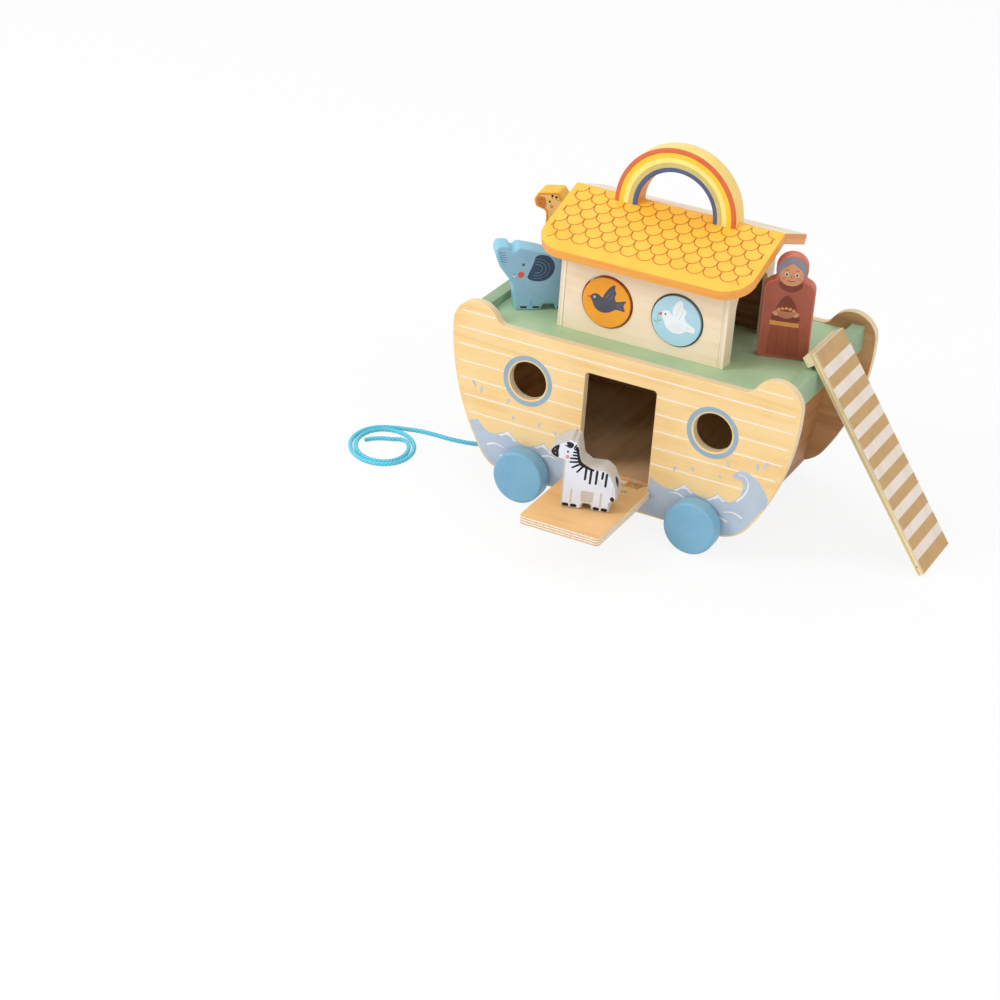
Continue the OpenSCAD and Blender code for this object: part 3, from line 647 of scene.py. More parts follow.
def plankLoops(doorway):
    h = hull
    loops = []

    def clear(x, z):
        if abs(x) > panelReach(z, h["lineInset"]):
            return False
        if z > h["top"] - 3 and abs(abs(x) - h["hornX"]) > 17:
            return False
        if hypot(abs(x) - h["portholeX"], z - h["portholeZ"]) < h["ring"][0] + 0.4:
            return False
        if doorway and abs(x) < h["doorHalf"] + 0.8 and z < h["doorTop"] + 1:
            return False
        return z > waterHeight(x, doorway) + 0.6

    for z in h["plankLines"]:
        run = []
        for i in range(-640, 642):
            x = i * 0.25
            if clear(x, z):
                run.append(x)
            elif run:
                if run[-1] - run[0] > 3:
                    half = h["lineWidth"] / 2
                    loops.append([(run[0], z - half), (run[-1], z - half), (run[-1] + 0.4, z),
                                (run[-1], z + half), (run[0], z + half), (run[0] - 0.4, z)])
                run = []
    return loops


def makePanels():
    h = hull
    lineInk = printInk("plankWhite", (254, 238, 222), 0.2)
    ringInk = printInk("portholeBlue", (152, 178, 197), 0.1)
    waterInk = printInk("waterBlue", (186, 200, 216), 0.1)
    foamInk = printInk("foamWhite", (247, 240, 238), 0.12)
    for node, side in (("front_panel", -1), ("back_panel", 1)):
        low, high = sorted((side * h["outY"], side * h["inY"]))
        wood = bareWood(node + "Wood", {**h["finish"], "depthAxis": "y", "depth": (low, high),
                    "innerTone": (-side, *h["inside"])})
        dress(node, wood, 0.7)
        shapes = [(waterInk, 0, *waterLoops(side < 0))]
        shapes += [(lineInk, 0, loop) for loop in plankLoops(side < 0)]
        shapes += [(foamInk, 1, foamCap(x)) for x in waterSetup["caps"]]
        shapes.append((waterInk, 1, blobOf(waterSetup["roller"])))
        shapes.append((foamInk, 2, strokeOf(waterSetup["curl"], 0.5, 1.6)))
        for s in (-1, 1):
            shapes.append((ringInk, 1, *(ringOf(s * h["portholeX"], h["portholeZ"], r,
                        64) for r in h["ring"])))
            for x, z, length, width in waterSetup["foam"]:
                arch = [(s * (x - length), z - width), (s * x, z), (s * (x + length), z - width * 1.4)]
                shapes.append((foamInk, 2, strokeOf(arch, 0.5, 2)))
            for x, z, length, width, angle in waterSetup["drops"]:
                shapes.append((waterInk, 1, dropOf(s * x, z, length, width, angle if s > 0 else 180 - angle)))
        right = (1, 0, 0) if side < 0 else (-1, 0, 0)
        printLayer(node + "_print", node, planeAt((0, side * h["outY"], 0), right, (0, 0, 1)), shapes)
    print("panels made")


makePanels()


# hold, deck and rails
holdSetup = {
    # brown: the bare ply of the hold's end walls made a darker brown, painted shade
    "brown": {"face": (185, 130, 79), "figure": (157, 103, 56), "cloud": (195, 142, 90), "grain": "y",
        "pores": 0.5},
    # floor: the hold floor in a darker brown than the panels' outer faces
    "floor": {"face": (216, 172, 126), "figure": (196, 148, 100), "cloud": (222, 180, 136), "grain": "y",
        "pores": 0.5},
    "green": {"paint": (184, 211, 170), "shade": (170, 200, 158), "grain": "x", "rough": 0.5},
    # rail: the deck's sage paint made darker for the rails, painted shade
    "rail": {"paint": (154, 182, 146), "shade": (142, 170, 134), "grain": "y", "rough": 0.5},
}


def makeHold():
    brown = bareWood("brownShadedPly", holdSetup["brown"])
    green = paintedWood("sageDeckPaint", holdSetup["green"])
    # the rails get the darker copy of the deck paint: painted shade
    rail = paintedWood("sageRailShadedPaint", holdSetup["rail"])
    # end walls in the darker brown: painted shade
    for node in ("bow_wall", "stern_wall"):
        dress(node, brown, 0.4)
    dress("hold_floor", bareWood("holdFloorBrown", holdSetup["floor"]), 0.4)
    dress("deck", green, 0.4)
    for node in ("bow_rail", "stern_rail"):
        dress(node, rail, 0.8)
    print("hold, deck and rails made")


makeHold()


# cabin walls, window bar and spindles
cabinSetup = {
    "walls": [("cabin_front_wall", "y", (-59.6, -53.1), 1), ("cabin_back_wall", "y", (32.5, 37.5), -1),
        ("cabin_bow_wall", "x", (-77, -72), 1), ("cabin_stern_wall", "x", (72, 77), -1)],
    "wall": {"face": (245, 226, 196), "figure": (238, 215, 182), "cloud": (248, 231, 206),
        "edge": (247, 236, 216), "edgeDark": (236, 217, 188), "grain": "x", "layers": 3, "pores": 0.25},
    # inside: dark brown on the walls' inner faces, painted shade of the roofed cabin
    "inside": ((146, 102, 66), (118, 78, 46)),
    "plain": {"face": (236, 212, 168), "figure": (218, 184, 134), "cloud": (240, 218, 180), "grain": "x"},
}


def makeCabin():
    for node, axis, depth, inward in cabinSetup["walls"]:
        finish = {**cabinSetup["wall"], "grain": "x" if axis == "y" else "y", "depthAxis": axis,
                "depth": depth, "innerTone": (inward, *cabinSetup["inside"])}
        dress(node, bareWood(node + "Birch", finish), 0.45)
    plain = bareWood("plainBirch", cabinSetup["plain"])
    for node in ("window_bar", "bow_spindle", "stern_spindle", "bow_batten", "stern_batten",
            "bow_handle_dowel", "stern_handle_dowel", "bow_axle", "stern_axle"):
        dress(node, plain, 0.3)
    print("cabin made")


makeCabin()


# turning window discs, each with a plain bird
discSetup = {
    "x": 32.2, "z": 184.5, "face": -61.6, "birdScale": 1.1,
    # edge colours: the disc rims darker than their faces, painted shade
    "orange": {"paint": (243, 164, 40), "shade": (236, 154, 34), "edge": (206, 116, 34),
        "edgeShade": (160, 82, 26), "edgeAxis": "y"},
    "sky": {"paint": (180, 220, 236), "shade": (168, 212, 230), "edge": (128, 156, 158),
        "edgeShade": (98, 124, 128), "edgeAxis": "y"},
    "darkBird": [(-13.6, 2.2), (-11, 5.2), (-7.2, 5.6), (-3.6, 3.6), (-1.8, 7.4), (2.6, 13.8), (6.2, 16),
        (6.4, 12.4), (7.8, 9.6), (6.8, 6.4), (8.4, 3), (16.2, 5.2), (14.4, 1), (15.8, -3.4), (8.6, -3.6),
        (3, -7.2), (-3.2, -8.6), (-8.8, -6.4), (-11.6, -1.6)],
    "paleBird": [(-12.6, 3.4), (-10.2, 6.4), (-6.4, 6.6), (-3.2, 3.8), (-3.6, 9.2), (-0.4, 15.6), (3.6, 17),
        (4.6, 12.4), (7.6, 9.4), (6.6, 4.2), (9.4, 0.6), (15.4, -2.4), (15, -6.2), (9.2, -6.2), (4.2, -9.4),
        (-2, -9.8), (-7.4, -7), (-10.2, -1.6)],
}


def makeDiscs():
    d = discSetup
    charcoal = printInk("birdCharcoal", (78, 80, 92), 0.05, (110, 110, 118))
    feather = printInk("birdFeather", (112, 116, 130), 0.05, (130, 130, 138))
    white = printInk("birdWhite", (238, 245, 250), 0.05, (220, 235, 245))
    shadow = printInk("birdShadow", (206, 228, 240), 0.05, (220, 235, 245))
    beak = printInk("beakCoral", (226, 106, 74), 0.05, (230, 140, 100))
    black = printInk("eyeBlack", (30, 28, 32), 0.02, (50, 48, 50))
    leaf = printInk("leafGreen", (150, 182, 140), 0.05, (180, 200, 170))
    # discs with their rims in the darker edge tones: painted shade
    dress("dark_bird_disc", paintedWood("discOrange", d["orange"]), 0.9, 3)
    dress("pale_bird_disc", paintedWood("discSky", d["sky"]), 0.9, 3)
    dark = [(charcoal, 0, blobOf(d["darkBird"])),
            (beak, 0, [(-13.2, 3.4), (-17, 1.6), (-13, 0.6)]),
            (white, 1, ringOf(-10.2, 2.6, 0.9, 16)), (black, 2, ringOf(-10.3, 2.6, 0.45, 12)),
            *strokes(feather, 1, 0.7, 0.3, [(-0.5, 4), (2.4, 8.2), (5, 12)],
                [(2, 3), (4.4, 6.2), (6, 9)]),
            *strokes(feather, 1, 0.6, 0.3, [(9, 0.6), (12, 1.4), (14, 2.4)],
                [(9, -1.2), (12, -1.6), (14, -1.9)])]
    pale = [(white, 0, blobOf(d["paleBird"])),
            (beak, 0, [(-12.2, 4.6), (-15.8, 2.8), (-12, 1.8)]),
            (black, 1, ringOf(-9.2, 3.6, 0.75, 14)),
            *strokes(shadow, 1, 0.8, 0.3, [(-1, 3.4), (0.8, 8.6), (2.6, 13.4)],
                [(2.2, 2.2), (4, 6), (4.8, 9.6)]),
            (shadow, 1, strokeOf([(8.4, -3), (11.6, -3.6), (14, -4.2)], 0.7, 0.3)),
            (leaf, 1, strokeOf([(-14.6, 2), (-15.4, -2), (-14.6, -6)], 0.5, 0.3)),
            (leaf, 1, dropOf(-13, -2.4, 3.4, 1.7, 215)), (leaf, 1, dropOf(-17, -4, 3.4, 1.7, 330))]
    big = d["birdScale"]
    for node, x, shapes in (("dark_bird_disc", -d["x"], dark), ("pale_bird_disc", d["x"], pale)):
        place = planeAt((x, d["face"], d["z"]), (1, 0, 0), (0, 0, 1))
        printLayer(node + "_print", node, place, scaled(shapes, big, big))
    print("window discs made")


makeDiscs()


# roof slabs with printed shingles
roofSetup = {
    "ridgeZ": 258.4, "slope": 18.8, "backSlope": 18.8, "halfLength": 96.4, "run": 88,
    "eaveR": 26, "rows": 7, "rowPitch": 10.7, "firstRow": -10.5, "shingle": 15, "margin": 5,
    "depth": 9.6, "line": 1.2,
    "front": {"paint": (252, 199, 68), "shade": (247, 188, 58), "edge": (250, 172, 78),
        "edgeShade": (242, 160, 64), "edgeAxis": "z", "bothSides": False, "rough": 0.42},
    # back: the slab's top face pale cream, a painted highlight
    "back": {"face": (241, 226, 202), "figure": (228, 204, 170), "cloud": (245, 232, 212),
        "edge": (244, 170, 98), "edgeDark": (232, 150, 80), "grain": "x", "depthAxis": "z",
        "depth": (-9.4, 0), "layers": 1},
}


def makeRoof():
    r = roofSetup
    slope, backSlope = radians(r["slope"]), radians(r["backSlope"])
    front = planeAt((0, 0, r["ridgeZ"]), (1, 0, 0), (0, cos(slope), sin(slope)))
    back = planeAt((0, 0, r["ridgeZ"]), (1, 0, 0), (0, cos(backSlope), -sin(backSlope)))
    dress("roof_front_slab", paintedWood("shingleYellow", r["front"]), 0.9, 3, front)
    dress("roof_back_slab", bareWood("backSlabWood", r["back"]), 0.8, basis=back)
    lineInk = printInk("shingleOrange", (212, 128, 36), 0.1, (246, 190, 70))

    def onRoof(u, v):
        half = r["halfLength"] - r["margin"]
        if abs(u) > half or v > -1.5 or v < r["margin"] - r["run"]:
            return False
        corner = r["eaveR"] - r["margin"]
        cu, cv = abs(u) - (half - corner), (r["margin"] - r["run"] + corner) - v
        return not (cu > 0 and cv > 0 and hypot(cu, cv) > corner)

    shapes = []
    for row in range(r["rows"]):
        low = r["firstRow"] - row * r["rowPitch"]
        shift = 0.5 if row % 2 else 0
        for col in range(-8, 9):
            middle = (col + shift) * r["shingle"]
            run = []
            for i in range(25):
                t = pi * (1 + i / 24)
                u = middle + (r["shingle"] / 2) * cos(t)
                v = low + r["depth"] * (1 - abs(sin(t)) ** 0.8)
                if onRoof(u, v):
                    run.append((u, v))
            if len(run) > 4:
                shapes.append((lineInk, 0, strokeOf(run, r["line"], r["line"], 1)))
    printLayer("roof_front_slab_print", "roof_front_slab", front, shapes)
    print("roof made:", len(shapes), "shingle lines")


makeRoof()


# rainbow handle, five bands on both faces
rainbowSetup = {
    "middleZ": 257, "outer": 55.5, "band": 4.18, "front": -10, "back": 8, "ease": 1, "steps": 72,
    "bands": [(86, 102, 142), (214, 196, 124), (252, 238, 140), (255, 210, 62), (222, 112, 70)],
    "outerPaint": {"paint": (254, 222, 132), "shade": (248, 210, 114), "rough": 0.42},
    "innerPaint": {"paint": (236, 158, 76), "shade": (228, 148, 66), "rough": 0.42},
}


def makeRainbow():
    b = rainbowSetup
    inner = b["outer"] - 5 * b["band"]
    ease = b["ease"]
    names = ("rainbowSlate", "rainbowKhaki", "rainbowCream", "rainbowGold", "rainbowRed")
    materials = [printInk(n, c, 0.04, (250, 225, 150)) for n, c in zip(names, b["bands"])]
    materials += [paintedWood("rainbowRim", b["outerPaint"]),
            paintedWood("rainbowUnderside", b["innerPaint"])]
    profile = []  # radius, y, material of the face that follows

    def corner(cr, cy, start, material):
        for i in range(4):
            t = radians(start + 30 * i)
            profile.append((cr + ease * cos(t), cy + ease * sin(t), material))

    corner(inner + ease, b["front"] + ease, 180, 0)
    for i in range(1, 5):
        profile.append((inner + i * b["band"], b["front"], i))
    corner(b["outer"] - ease, b["front"] + ease, 270, 4)
    profile[-1] = (*profile[-1][:2], 5)
    corner(b["outer"] - ease, b["back"] - ease, 0, 4)
    for i in range(4, 0, -1):
        profile.append((inner + i * b["band"], b["back"], i - 1))
    corner(inner + ease, b["back"] - ease, 90, 0)
    profile[-1] = (*profile[-1][:2], 6)

    def roofTop(y):
        slope = roofSetup["slope"] if y < 0 else -roofSetup["backSlope"]
        return roofSetup["ridgeZ"] + y * tan(radians(slope))

    bm = bmesh.new()
    rings = []
    for step in range(-1, b["steps"] + 2):
        ring = []
        t = pi * min(max(step, 0), b["steps"]) / b["steps"]
        for radius, y, material in profile:
            x, z = radius * cos(t), b["middleZ"] + radius * sin(t)
            if step < 0 or step > b["steps"]:
                z = min(z, roofTop(y)) - 0.3
            ring.append(bm.verts.new((x * mm, y * mm, z * mm)))
        rings.append(ring)
    for i, face in enumerate(skinRings(bm, rings)):
        face.material_index = profile[i % len(profile)][2]
    for ring in (rings[0], rings[-1]):
        bm.faces.new(ring).material_index = 6
    piece = addObject("rainbow_handle_piece", meshFrom(bm, "rainbow_handle_bands", materials, 40))
    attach(piece, "roof")
    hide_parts("rainbow_handle")
    print("rainbow made")


makeRainbow()


# wheels
wheelSetup = {"paint": (128, 181, 210), "shade": (118, 172, 203), "grain": "y", "rough": 0.4, "shine": 0.45}


def makeWheels():
    blue = paintedWood("wheelBlue", wheelSetup)
    for node in ("bow_front_wheel", "bow_back_wheel", "stern_front_wheel", "stern_back_wheel"):
        dress(node, blue, 0, 1)
    print("wheels made")


makeWheels()


# ramp board, hinges and their screws
rampSetup = {
    "board": {"face": (234, 185, 124), "figure": (220, 164, 98), "cloud": (239, 195, 138),
        "edge": (252, 242, 224), "edgeDark": (216, 180, 140), "grain": "x", "depthAxis": "z",
        "depth": (31.5, 39.5), "layers": 7},
    "lacquer": {"paint": (206, 156, 98), "shade": (192, 140, 82), "rough": 0.38},
    "headR": 2.2, "headT": 0.8, "rings": 9, "spokes": 48, "shankR": 1, "shankLength": 5.5,
    "crossReach": 1.25, "crossWide": 0.3, "crossDeep": 0.45,
    "screws": {"bow_sill_screw": (-19, -86, 38.1), "stern_sill_screw": (19, -86, 38.1),
        "bow_ramp_screw": (-19, -106, 39.5), "stern_ramp_screw": (19, -106, 39.5)},
}


# domed head with a cross recess, over a plain shank
def screwMesh(name, steel, at, turn):
    s = rampSetup
    bm = bmesh.new()

    def height(u, v):
        r = hypot(u, v) / s["headR"]
        dome = s["headT"] * (1 - 0.45 * r ** 2.2) * (1 if r < 0.97 else 0.6)
        c, k = cos(turn), sin(turn)
        a, b = sorted((abs(u * c + v * k), abs(v * c - u * k)))
        return dome - (s["crossDeep"] if a < s["crossWide"] and b < s["crossReach"] else 0)

    def ringAt(r, lift):
        turns = [2 * pi * k / s["spokes"] for k in range(s["spokes"])]
        flat = [(r * cos(t), r * sin(t)) for t in turns]
        return [bm.verts.new((Vector(at) + Vector((u, v, lift(u, v)))) * mm) for u, v in flat]

    rings = [ringAt(s["headR"] * i / s["rings"], height) for i in range(1, s["rings"] + 1)]
    for r, depth in ((s["headR"], 0), (s["shankR"], 0), (s["shankR"], 0.1 - s["shankLength"])):
        rings.append(ringAt(r, lambda u, v: depth))
    skinRings(bm, rings)
    fan(bm, rings[0], (Vector(at) + Vector((0, 0, height(0, 0)))) * mm)
    fan(bm, rings[-1], (Vector(at) - Vector((0, 0, s["shankLength"]))) * mm)
    return meshFrom(bm, name, [steel], 35)


def makeRamp():
    steel = platedSteel("platedSteel")
    lacquer = paintedWood("tanLacquer", rampSetup["lacquer"])
    dress("ramp_door", bareWood("rampPly", rampSetup["board"]), 0.5)
    for side in ("bow", "stern"):
        for leaf in ("_sill_leaf", "_ramp_leaf", "_hinge_pin"):
            dress(side + leaf, lacquer, 0.15, 1)
    for i, (node, at) in enumerate(rampSetup["screws"].items()):
        piece = addObject(node + "_piece", screwMesh(node + "_head", steel, at, 0.5 + 0.8 * i))
        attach(piece, bodyOf[node])
        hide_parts(node)
    print("ramp made")


makeRamp()


# gangway with painted treads
gangwaySetup = {
    "foot": (260.85, 0, 0), "lean": 55, "length": 209.3, "halfWidth": 32, "thick": 6,
    "firstTread": 15, "pitch": 19.14, "gap": 9.2, "gaps": 10, "nail": (3, 8, 0.7), "bare": 0.5,
    "board": {"face": (242, 229, 216), "figure": (234, 218, 200), "cloud": (245, 234, 224),
        "edge": (243, 227, 184), "edgeDark": (222, 196, 142), "grain": "y", "depthAxis": "z",
        "depth": (0, 6), "layers": 3, "pores": 0.2},
    "cleat": {"face": (243, 228, 188), "figure": (228, 206, 158), "cloud": (245, 232, 200), "grain": "x"},
}


def makeGangway():
    g = gangwaySetup
    lean = radians(g["lean"])
    basis = planeAt(g["foot"], (0, 1, 0), (-cos(lean), 0, sin(lean)))
    dress("gangway_board", bareWood("gangwayBoard", g["board"]), 0.5, basis=basis)
    dress("gangway_cleat", bareWood("gangwayCleat", g["cleat"]), 0.4, basis=basis)
    tread = printInk("treadTan", (204, 164, 109), 0.12, (226, 196, 150))
    nail = printInk("nailDark", (150, 110, 70), 0.02, (120, 90, 60))
    half = g["halfWidth"] - g["bare"]
    shapes = []
    high = g["length"] - g["bare"]
    for i in range(g["gaps"] + 1):
        gap = g["length"] - g["firstTread"] - i * g["pitch"]
        low = gap if i < g["gaps"] else g["bare"]
        shapes.append((tread, 0, [(-half, low), (half, low), (half, high), (-half, high)]))
        high = gap - g["gap"]
    face = basis @ Matrix.Translation((0, 0, g["thick"] * mm))
    printLayer("gangway_board_print", "gangway_board", face, shapes)
    edge = planeAt(basis @ Vector((-g["halfWidth"] * mm, 0, 0)) / mm,
            (sin(lean), 0, cos(lean)), (-cos(lean), 0, sin(lean)))
    printLayer("gangway_nail", "gangway_board", edge, [(nail, 0, ringOf(*g["nail"], 14))])
    print("gangway made")


makeGangway()


# loose wooden passengers, each with its print on both faces
passengerSetup = {
    "zebra": {"at": (-15, -159.5, 39.6), "turn": 15.5, "thick": 20,
        "bore": 25, "paint": {"paint": (201, 196, 189), "shade": (190, 185, 178), "rough": 0.5}},
    "elephant": {"at": (-118.9, -50.5, 151.6), "turn": 35.7, "thick": 20,
        "bore": 24, "paint": {"paint": (146, 206, 228), "shade": (134, 195, 219), "rough": 0.45}},
    "giraffe": {"at": (-130, 11, 151.6), "turn": 8, "thick": 20,
        "bore": 30, "paint": {"paint": (250, 196, 62), "shade": (244, 184, 48), "rough": 0.45}},
    "woman_figure": {"at": (89.2, -16.6, 151.6), "turn": 19, "thick": 12,
        "paint": {"paint": (210, 118, 98), "shade": (198, 108, 88), "rough": 0.5}},
}
boreRadius = 4.5


def insetLoop(points, inset):
    count = len(points)
    made = []
    for i in range(count):
        a, b, c = (Vector(points[(i + k) % count][:2]) for k in (-1, 0, 1))
        d0, d1 = (b - a).normalized(), (c - b).normalized()
        n0, n1 = Vector((-d0.y, d0.x)), Vector((-d1.y, d1.x))
        n = n0 + n1
        scale = inset / max(0.35, 1 + n0.dot(n1)) if n.length > 1e-6 else 0
        made.append(b + n * scale)
    return made


# rounded outline from corner points with radii, drawn in from the edge
def roundedLoop(line, inset):
    corners = insetLoop(line, inset)
    count = len(line)
    made = []
    for i in range(count):
        a, b, c = corners[i - 1], corners[i], corners[(i + 1) % count]
        d0, d1 = (b - a).normalized(), (c - b).normalized()
        bend = atan2(d0.x * d1.y - d0.y * d1.x, d0.dot(d1))
        radius = max(line[i][2] - inset if bend > 0 else line[i][2] + inset, 0.3)
        reach = min(radius * tan(abs(bend) / 2), 0.48 * (b - a).length, 0.48 * (c - b).length)
        start, end = b - d0 * reach, b + d1 * reach
        steps = max(2, int(abs(degrees(bend)) / 12))
        for k in range(steps + 1):
            t = k / steps
            made.append(start * (1 - t) ** 2 + b * 2 * t * (1 - t) + end * t * t)
    return [(p.x, p.y) for p in made]


zebraLine = [(0, 0, 2.5), (17.5, 0, 2), (18.5, 5.5, 2), (25, 5.5, 2), (26, 0, 2), (41.5, 0, 2.5),
        (41.5, 9, 2), (47, 13, 3), (46, 24, 8), (41, 35, 8), (35, 40, 6), (22, 39.5, 4), (15, 44, 5),
        (10.8, 63.6, 1.8), (8, 62.6, 1), (5.4, 64.6, 1.6), (-6, 58.5, 6), (-13, 51, 5), (-11, 45.5, 3),
        (-4, 43, 2), (0, 43, 2)]
elephantLine = [(-2.7, 0, 2.5), (19.5, 0, 2.5), (21.5, 5.5, 2), (31, 5.5, 2), (33, 0, 2.5), (46.5, 0, 3),
        (46.5, 35, 12), (37, 48, 10), (23, 52, 9), (9, 55.5, 9), (-3.5, 57.5, 4), (-8.2, 52.2, 2.5),
        (-11, 58.6, 3.5), (-21.8, 58.6, 4), (-22.5, 51, 5), (-18.5, 40, 6), (-6.2, 24, 7)]
giraffeLine = [(0, 0, 2.5), (14.5, 0, 2), (15.5, 6.5, 2), (21.5, 6.5, 2), (22.5, 0, 2), (36, 0, 3),
        (42, 15, 5), (38, 27, 7), (26, 41, 6), (18, 46, 7), (16, 72, 6), (18.5, 80, 3), (11.5, 88.6, 4),
        (-6.5, 85.6, 5), (-10.5, 78, 4), (-8.4, 71.6, 3), (1, 69.2, 3), (1.5, 60, 4)]
womanLine = [(0, 0, 2), (43.2, 0, 2), (43.2, 66.5, 9), (34.2, 71.5, 3), (35.3, 93.3, 13.2),
        (7.9, 93.3, 13.2), (9, 71.5, 3), (0, 66.5, 9)]


def zebraPrint():
    white = printInk("zebraWhite", (231, 236, 249), 0.05, (220, 224, 236))
    black = printInk("zebraBlack", (26, 25, 28), 0.03, (60, 60, 62))
    grey = printInk("zebraGrey", (204, 200, 192), 0.05, (190, 188, 182))
    pink = printInk("zebraPink", (236, 150, 146), 0.05, (240, 180, 175))
    face = [(white, 0, roundedLoop(zebraLine, 1.6)),
            (black, 1, blobOf([(-10.9, 50.4), (-9.4, 46.9), (-6.4, 45.3), (-4.9, 45.2), (-4.4, 46.2),
                (-4.9, 51), (-4.3, 56), (-5.2, 56.5), (-8.4, 54.4)])),
            (grey, 2, ovalOf(-8, 52, 0.5, 0.35)), (grey, 2, ovalOf(-7.2, 48.8, 0.5, 0.35)),
            (black, 1, blobOf([(-0.2, 57), (2, 57.4), (1.2, 59.6), (3.4, 60.6), (6.8, 59.6), (7.4, 57.2),
                (5.4, 54.9), (2.6, 55.4)])),
            (black, 1, strokeOf([(8, 55.2), (9.6, 58.6)], 1.3, 1.1)),
            (black, 1, ringOf(2.9, 51.3, 0.95, 16)), (pink, 1, ringOf(2.8, 46.6, 1.7, 18)),
            (black, 1, blobOf([(9.8, 57.2), (11.7, 55.6), (13.2, 48.6), (14.6, 44.6), (17.4, 42.2),
                (21.6, 40), (26, 38.2), (25, 36.8), (18, 38.8), (14, 40.6), (11.8, 44.6), (10.7, 51),
                (9.2, 55)])),
            (grey, 1, [(16.4, 17.5), (27.6, 17.5), (27, 8), (25.6, 7.6), (18, 7.6), (16.8, 8)]),
            (grey, 1, strokeOf([(8.3, 5), (8.6, 17.5)], 1.5)),
            (grey, 1, strokeOf([(33.4, 5), (33.6, 17.5)], 1.7)),
            (grey, 1, strokeOf([(42.6, 25), (43.2, 19), (43, 15.6)], 0.7))]
    for a, b in (((11.6, 54), (8.4, 54.2)), ((11.4, 51.6), (7.6, 51.6)), ((11.6, 49), (7.4, 48.8)),
            ((12, 46.2), (5.4, 45.8)), ((12.6, 43.4), (5.2, 42.2)), ((13.6, 41.4), (7.4, 37.4)),
            ((16.4, 39.8), (11.8, 33.8))):
        face.append((black, 1, strokeOf([a, b], 2, 1.5)))
    for u, top, low in ((18.9, 38.6, 28), (23.2, 37.6, 25), (28.2, 37.4, 25.4), (33.2, 37, 31),
            (36.4, 35.8, 24.4)):
        face.append((black, 1, strokeOf([(u + 0.6, top), (u, low)], 2.1, 1.9)))
    face += hooves(black, 1, (4.2, 11, 30.2, 37), 1.5, 3.9, 2.3, 2.2)
    return face + [(black, 1, ovalOf(43, 13.6, 1.8, 2.1, 10))]


def elephantPrint():
    skin = printInk("elephantSkin", (150, 193, 222), 0.08, (162, 202, 228))
    navy = printInk("earNavy", (50, 76, 108), 0.06, (80, 106, 136))
    dots = printInk("earDots", (150, 172, 194), 0.05, (120, 150, 180))
    red = printInk("elephantCheek", (224, 104, 78), 0.05, (236, 140, 118))
    deepRed = printInk("elephantCheekRing", (198, 78, 58), 0.05, (226, 120, 100))
    black = printInk("elephantBlack", (24, 26, 32), 0.03, (60, 62, 66))
    white = printInk("tuskWhite", (236, 242, 246), 0.05, (210, 225, 235))
    blue = printInk("legBlue", (118, 170, 202), 0.05, (130, 180, 210))
    ear = [(12.4, 49.6), (17, 51.2), (24, 49.6), (28.6, 43.6), (29, 36.6), (25, 30), (18, 26.8),
            (10.4, 27.4), (6.2, 30.2), (7.2, 34), (9.6, 40.4), (11.2, 46)]
    face = [(skin, 0, roundedLoop(elephantLine, 1.9)), (navy, 1, blobOf(ear)),
            (black, 1, ringOf(1.9, 42.2, 1.25, 18)), (white, 2, ringOf(1.6, 42.6, 0.35, 10)),
            (red, 1, ringOf(0.5, 32.8, 2.9, 26)),
            (deepRed, 2, ringOf(0.5, 32.8, 1.5, 20), ringOf(0.5, 32.8, 1, 20)),
            (white, 1, strokeOf([(-6.6, 31.6), (-5.4, 31), (-4.6, 32.4)], 1, 0.5)),
            (navy, 1, strokeOf([(-5.9, 32.8), (-4.6, 33.6)], 0.5, 0.4)),
            *strokes(blue, 1, 1.8, 1.2, [(11, 4.4), (11, 9.4)], [(38.6, 4.4), (38.6, 9.4)])]
    for i in range(5):
        v = 53.6 - i * 2.1
        fold = [(-20 + i * 0.6, v), (-16.6 + i * 0.5, v - 0.9), (-13.8 + i * 0.3, v - 0.6)]
        face.append((navy, 1, strokeOf(fold, 0.55, 0.3)))
    for scale in (0.78, 0.56, 0.34):
        for k in range(26):
            t = radians(-100 + k * 8.4)
            u, v = 13.6 + 14.4 * scale * cos(t), 38.4 + 11.6 * scale * sin(t)
            if cos(t) > -0.3:
                face.append((dots, 2, ovalOf(u, v, 0.5, 0.22, degrees(t) + 90, 8)))
    for u in (4.6, 15.4, 37, 43):
        face.append((black, 1, blobOf([(u - 2.8, 1.9), (u, 1.7), (u + 2.8, 1.9), (u + 2.5, 3.9),
                    (u + 1.3, 3.2), (u, 3.9), (u - 1.3, 3.2), (u - 2.5, 3.9)], 3)))
    return face


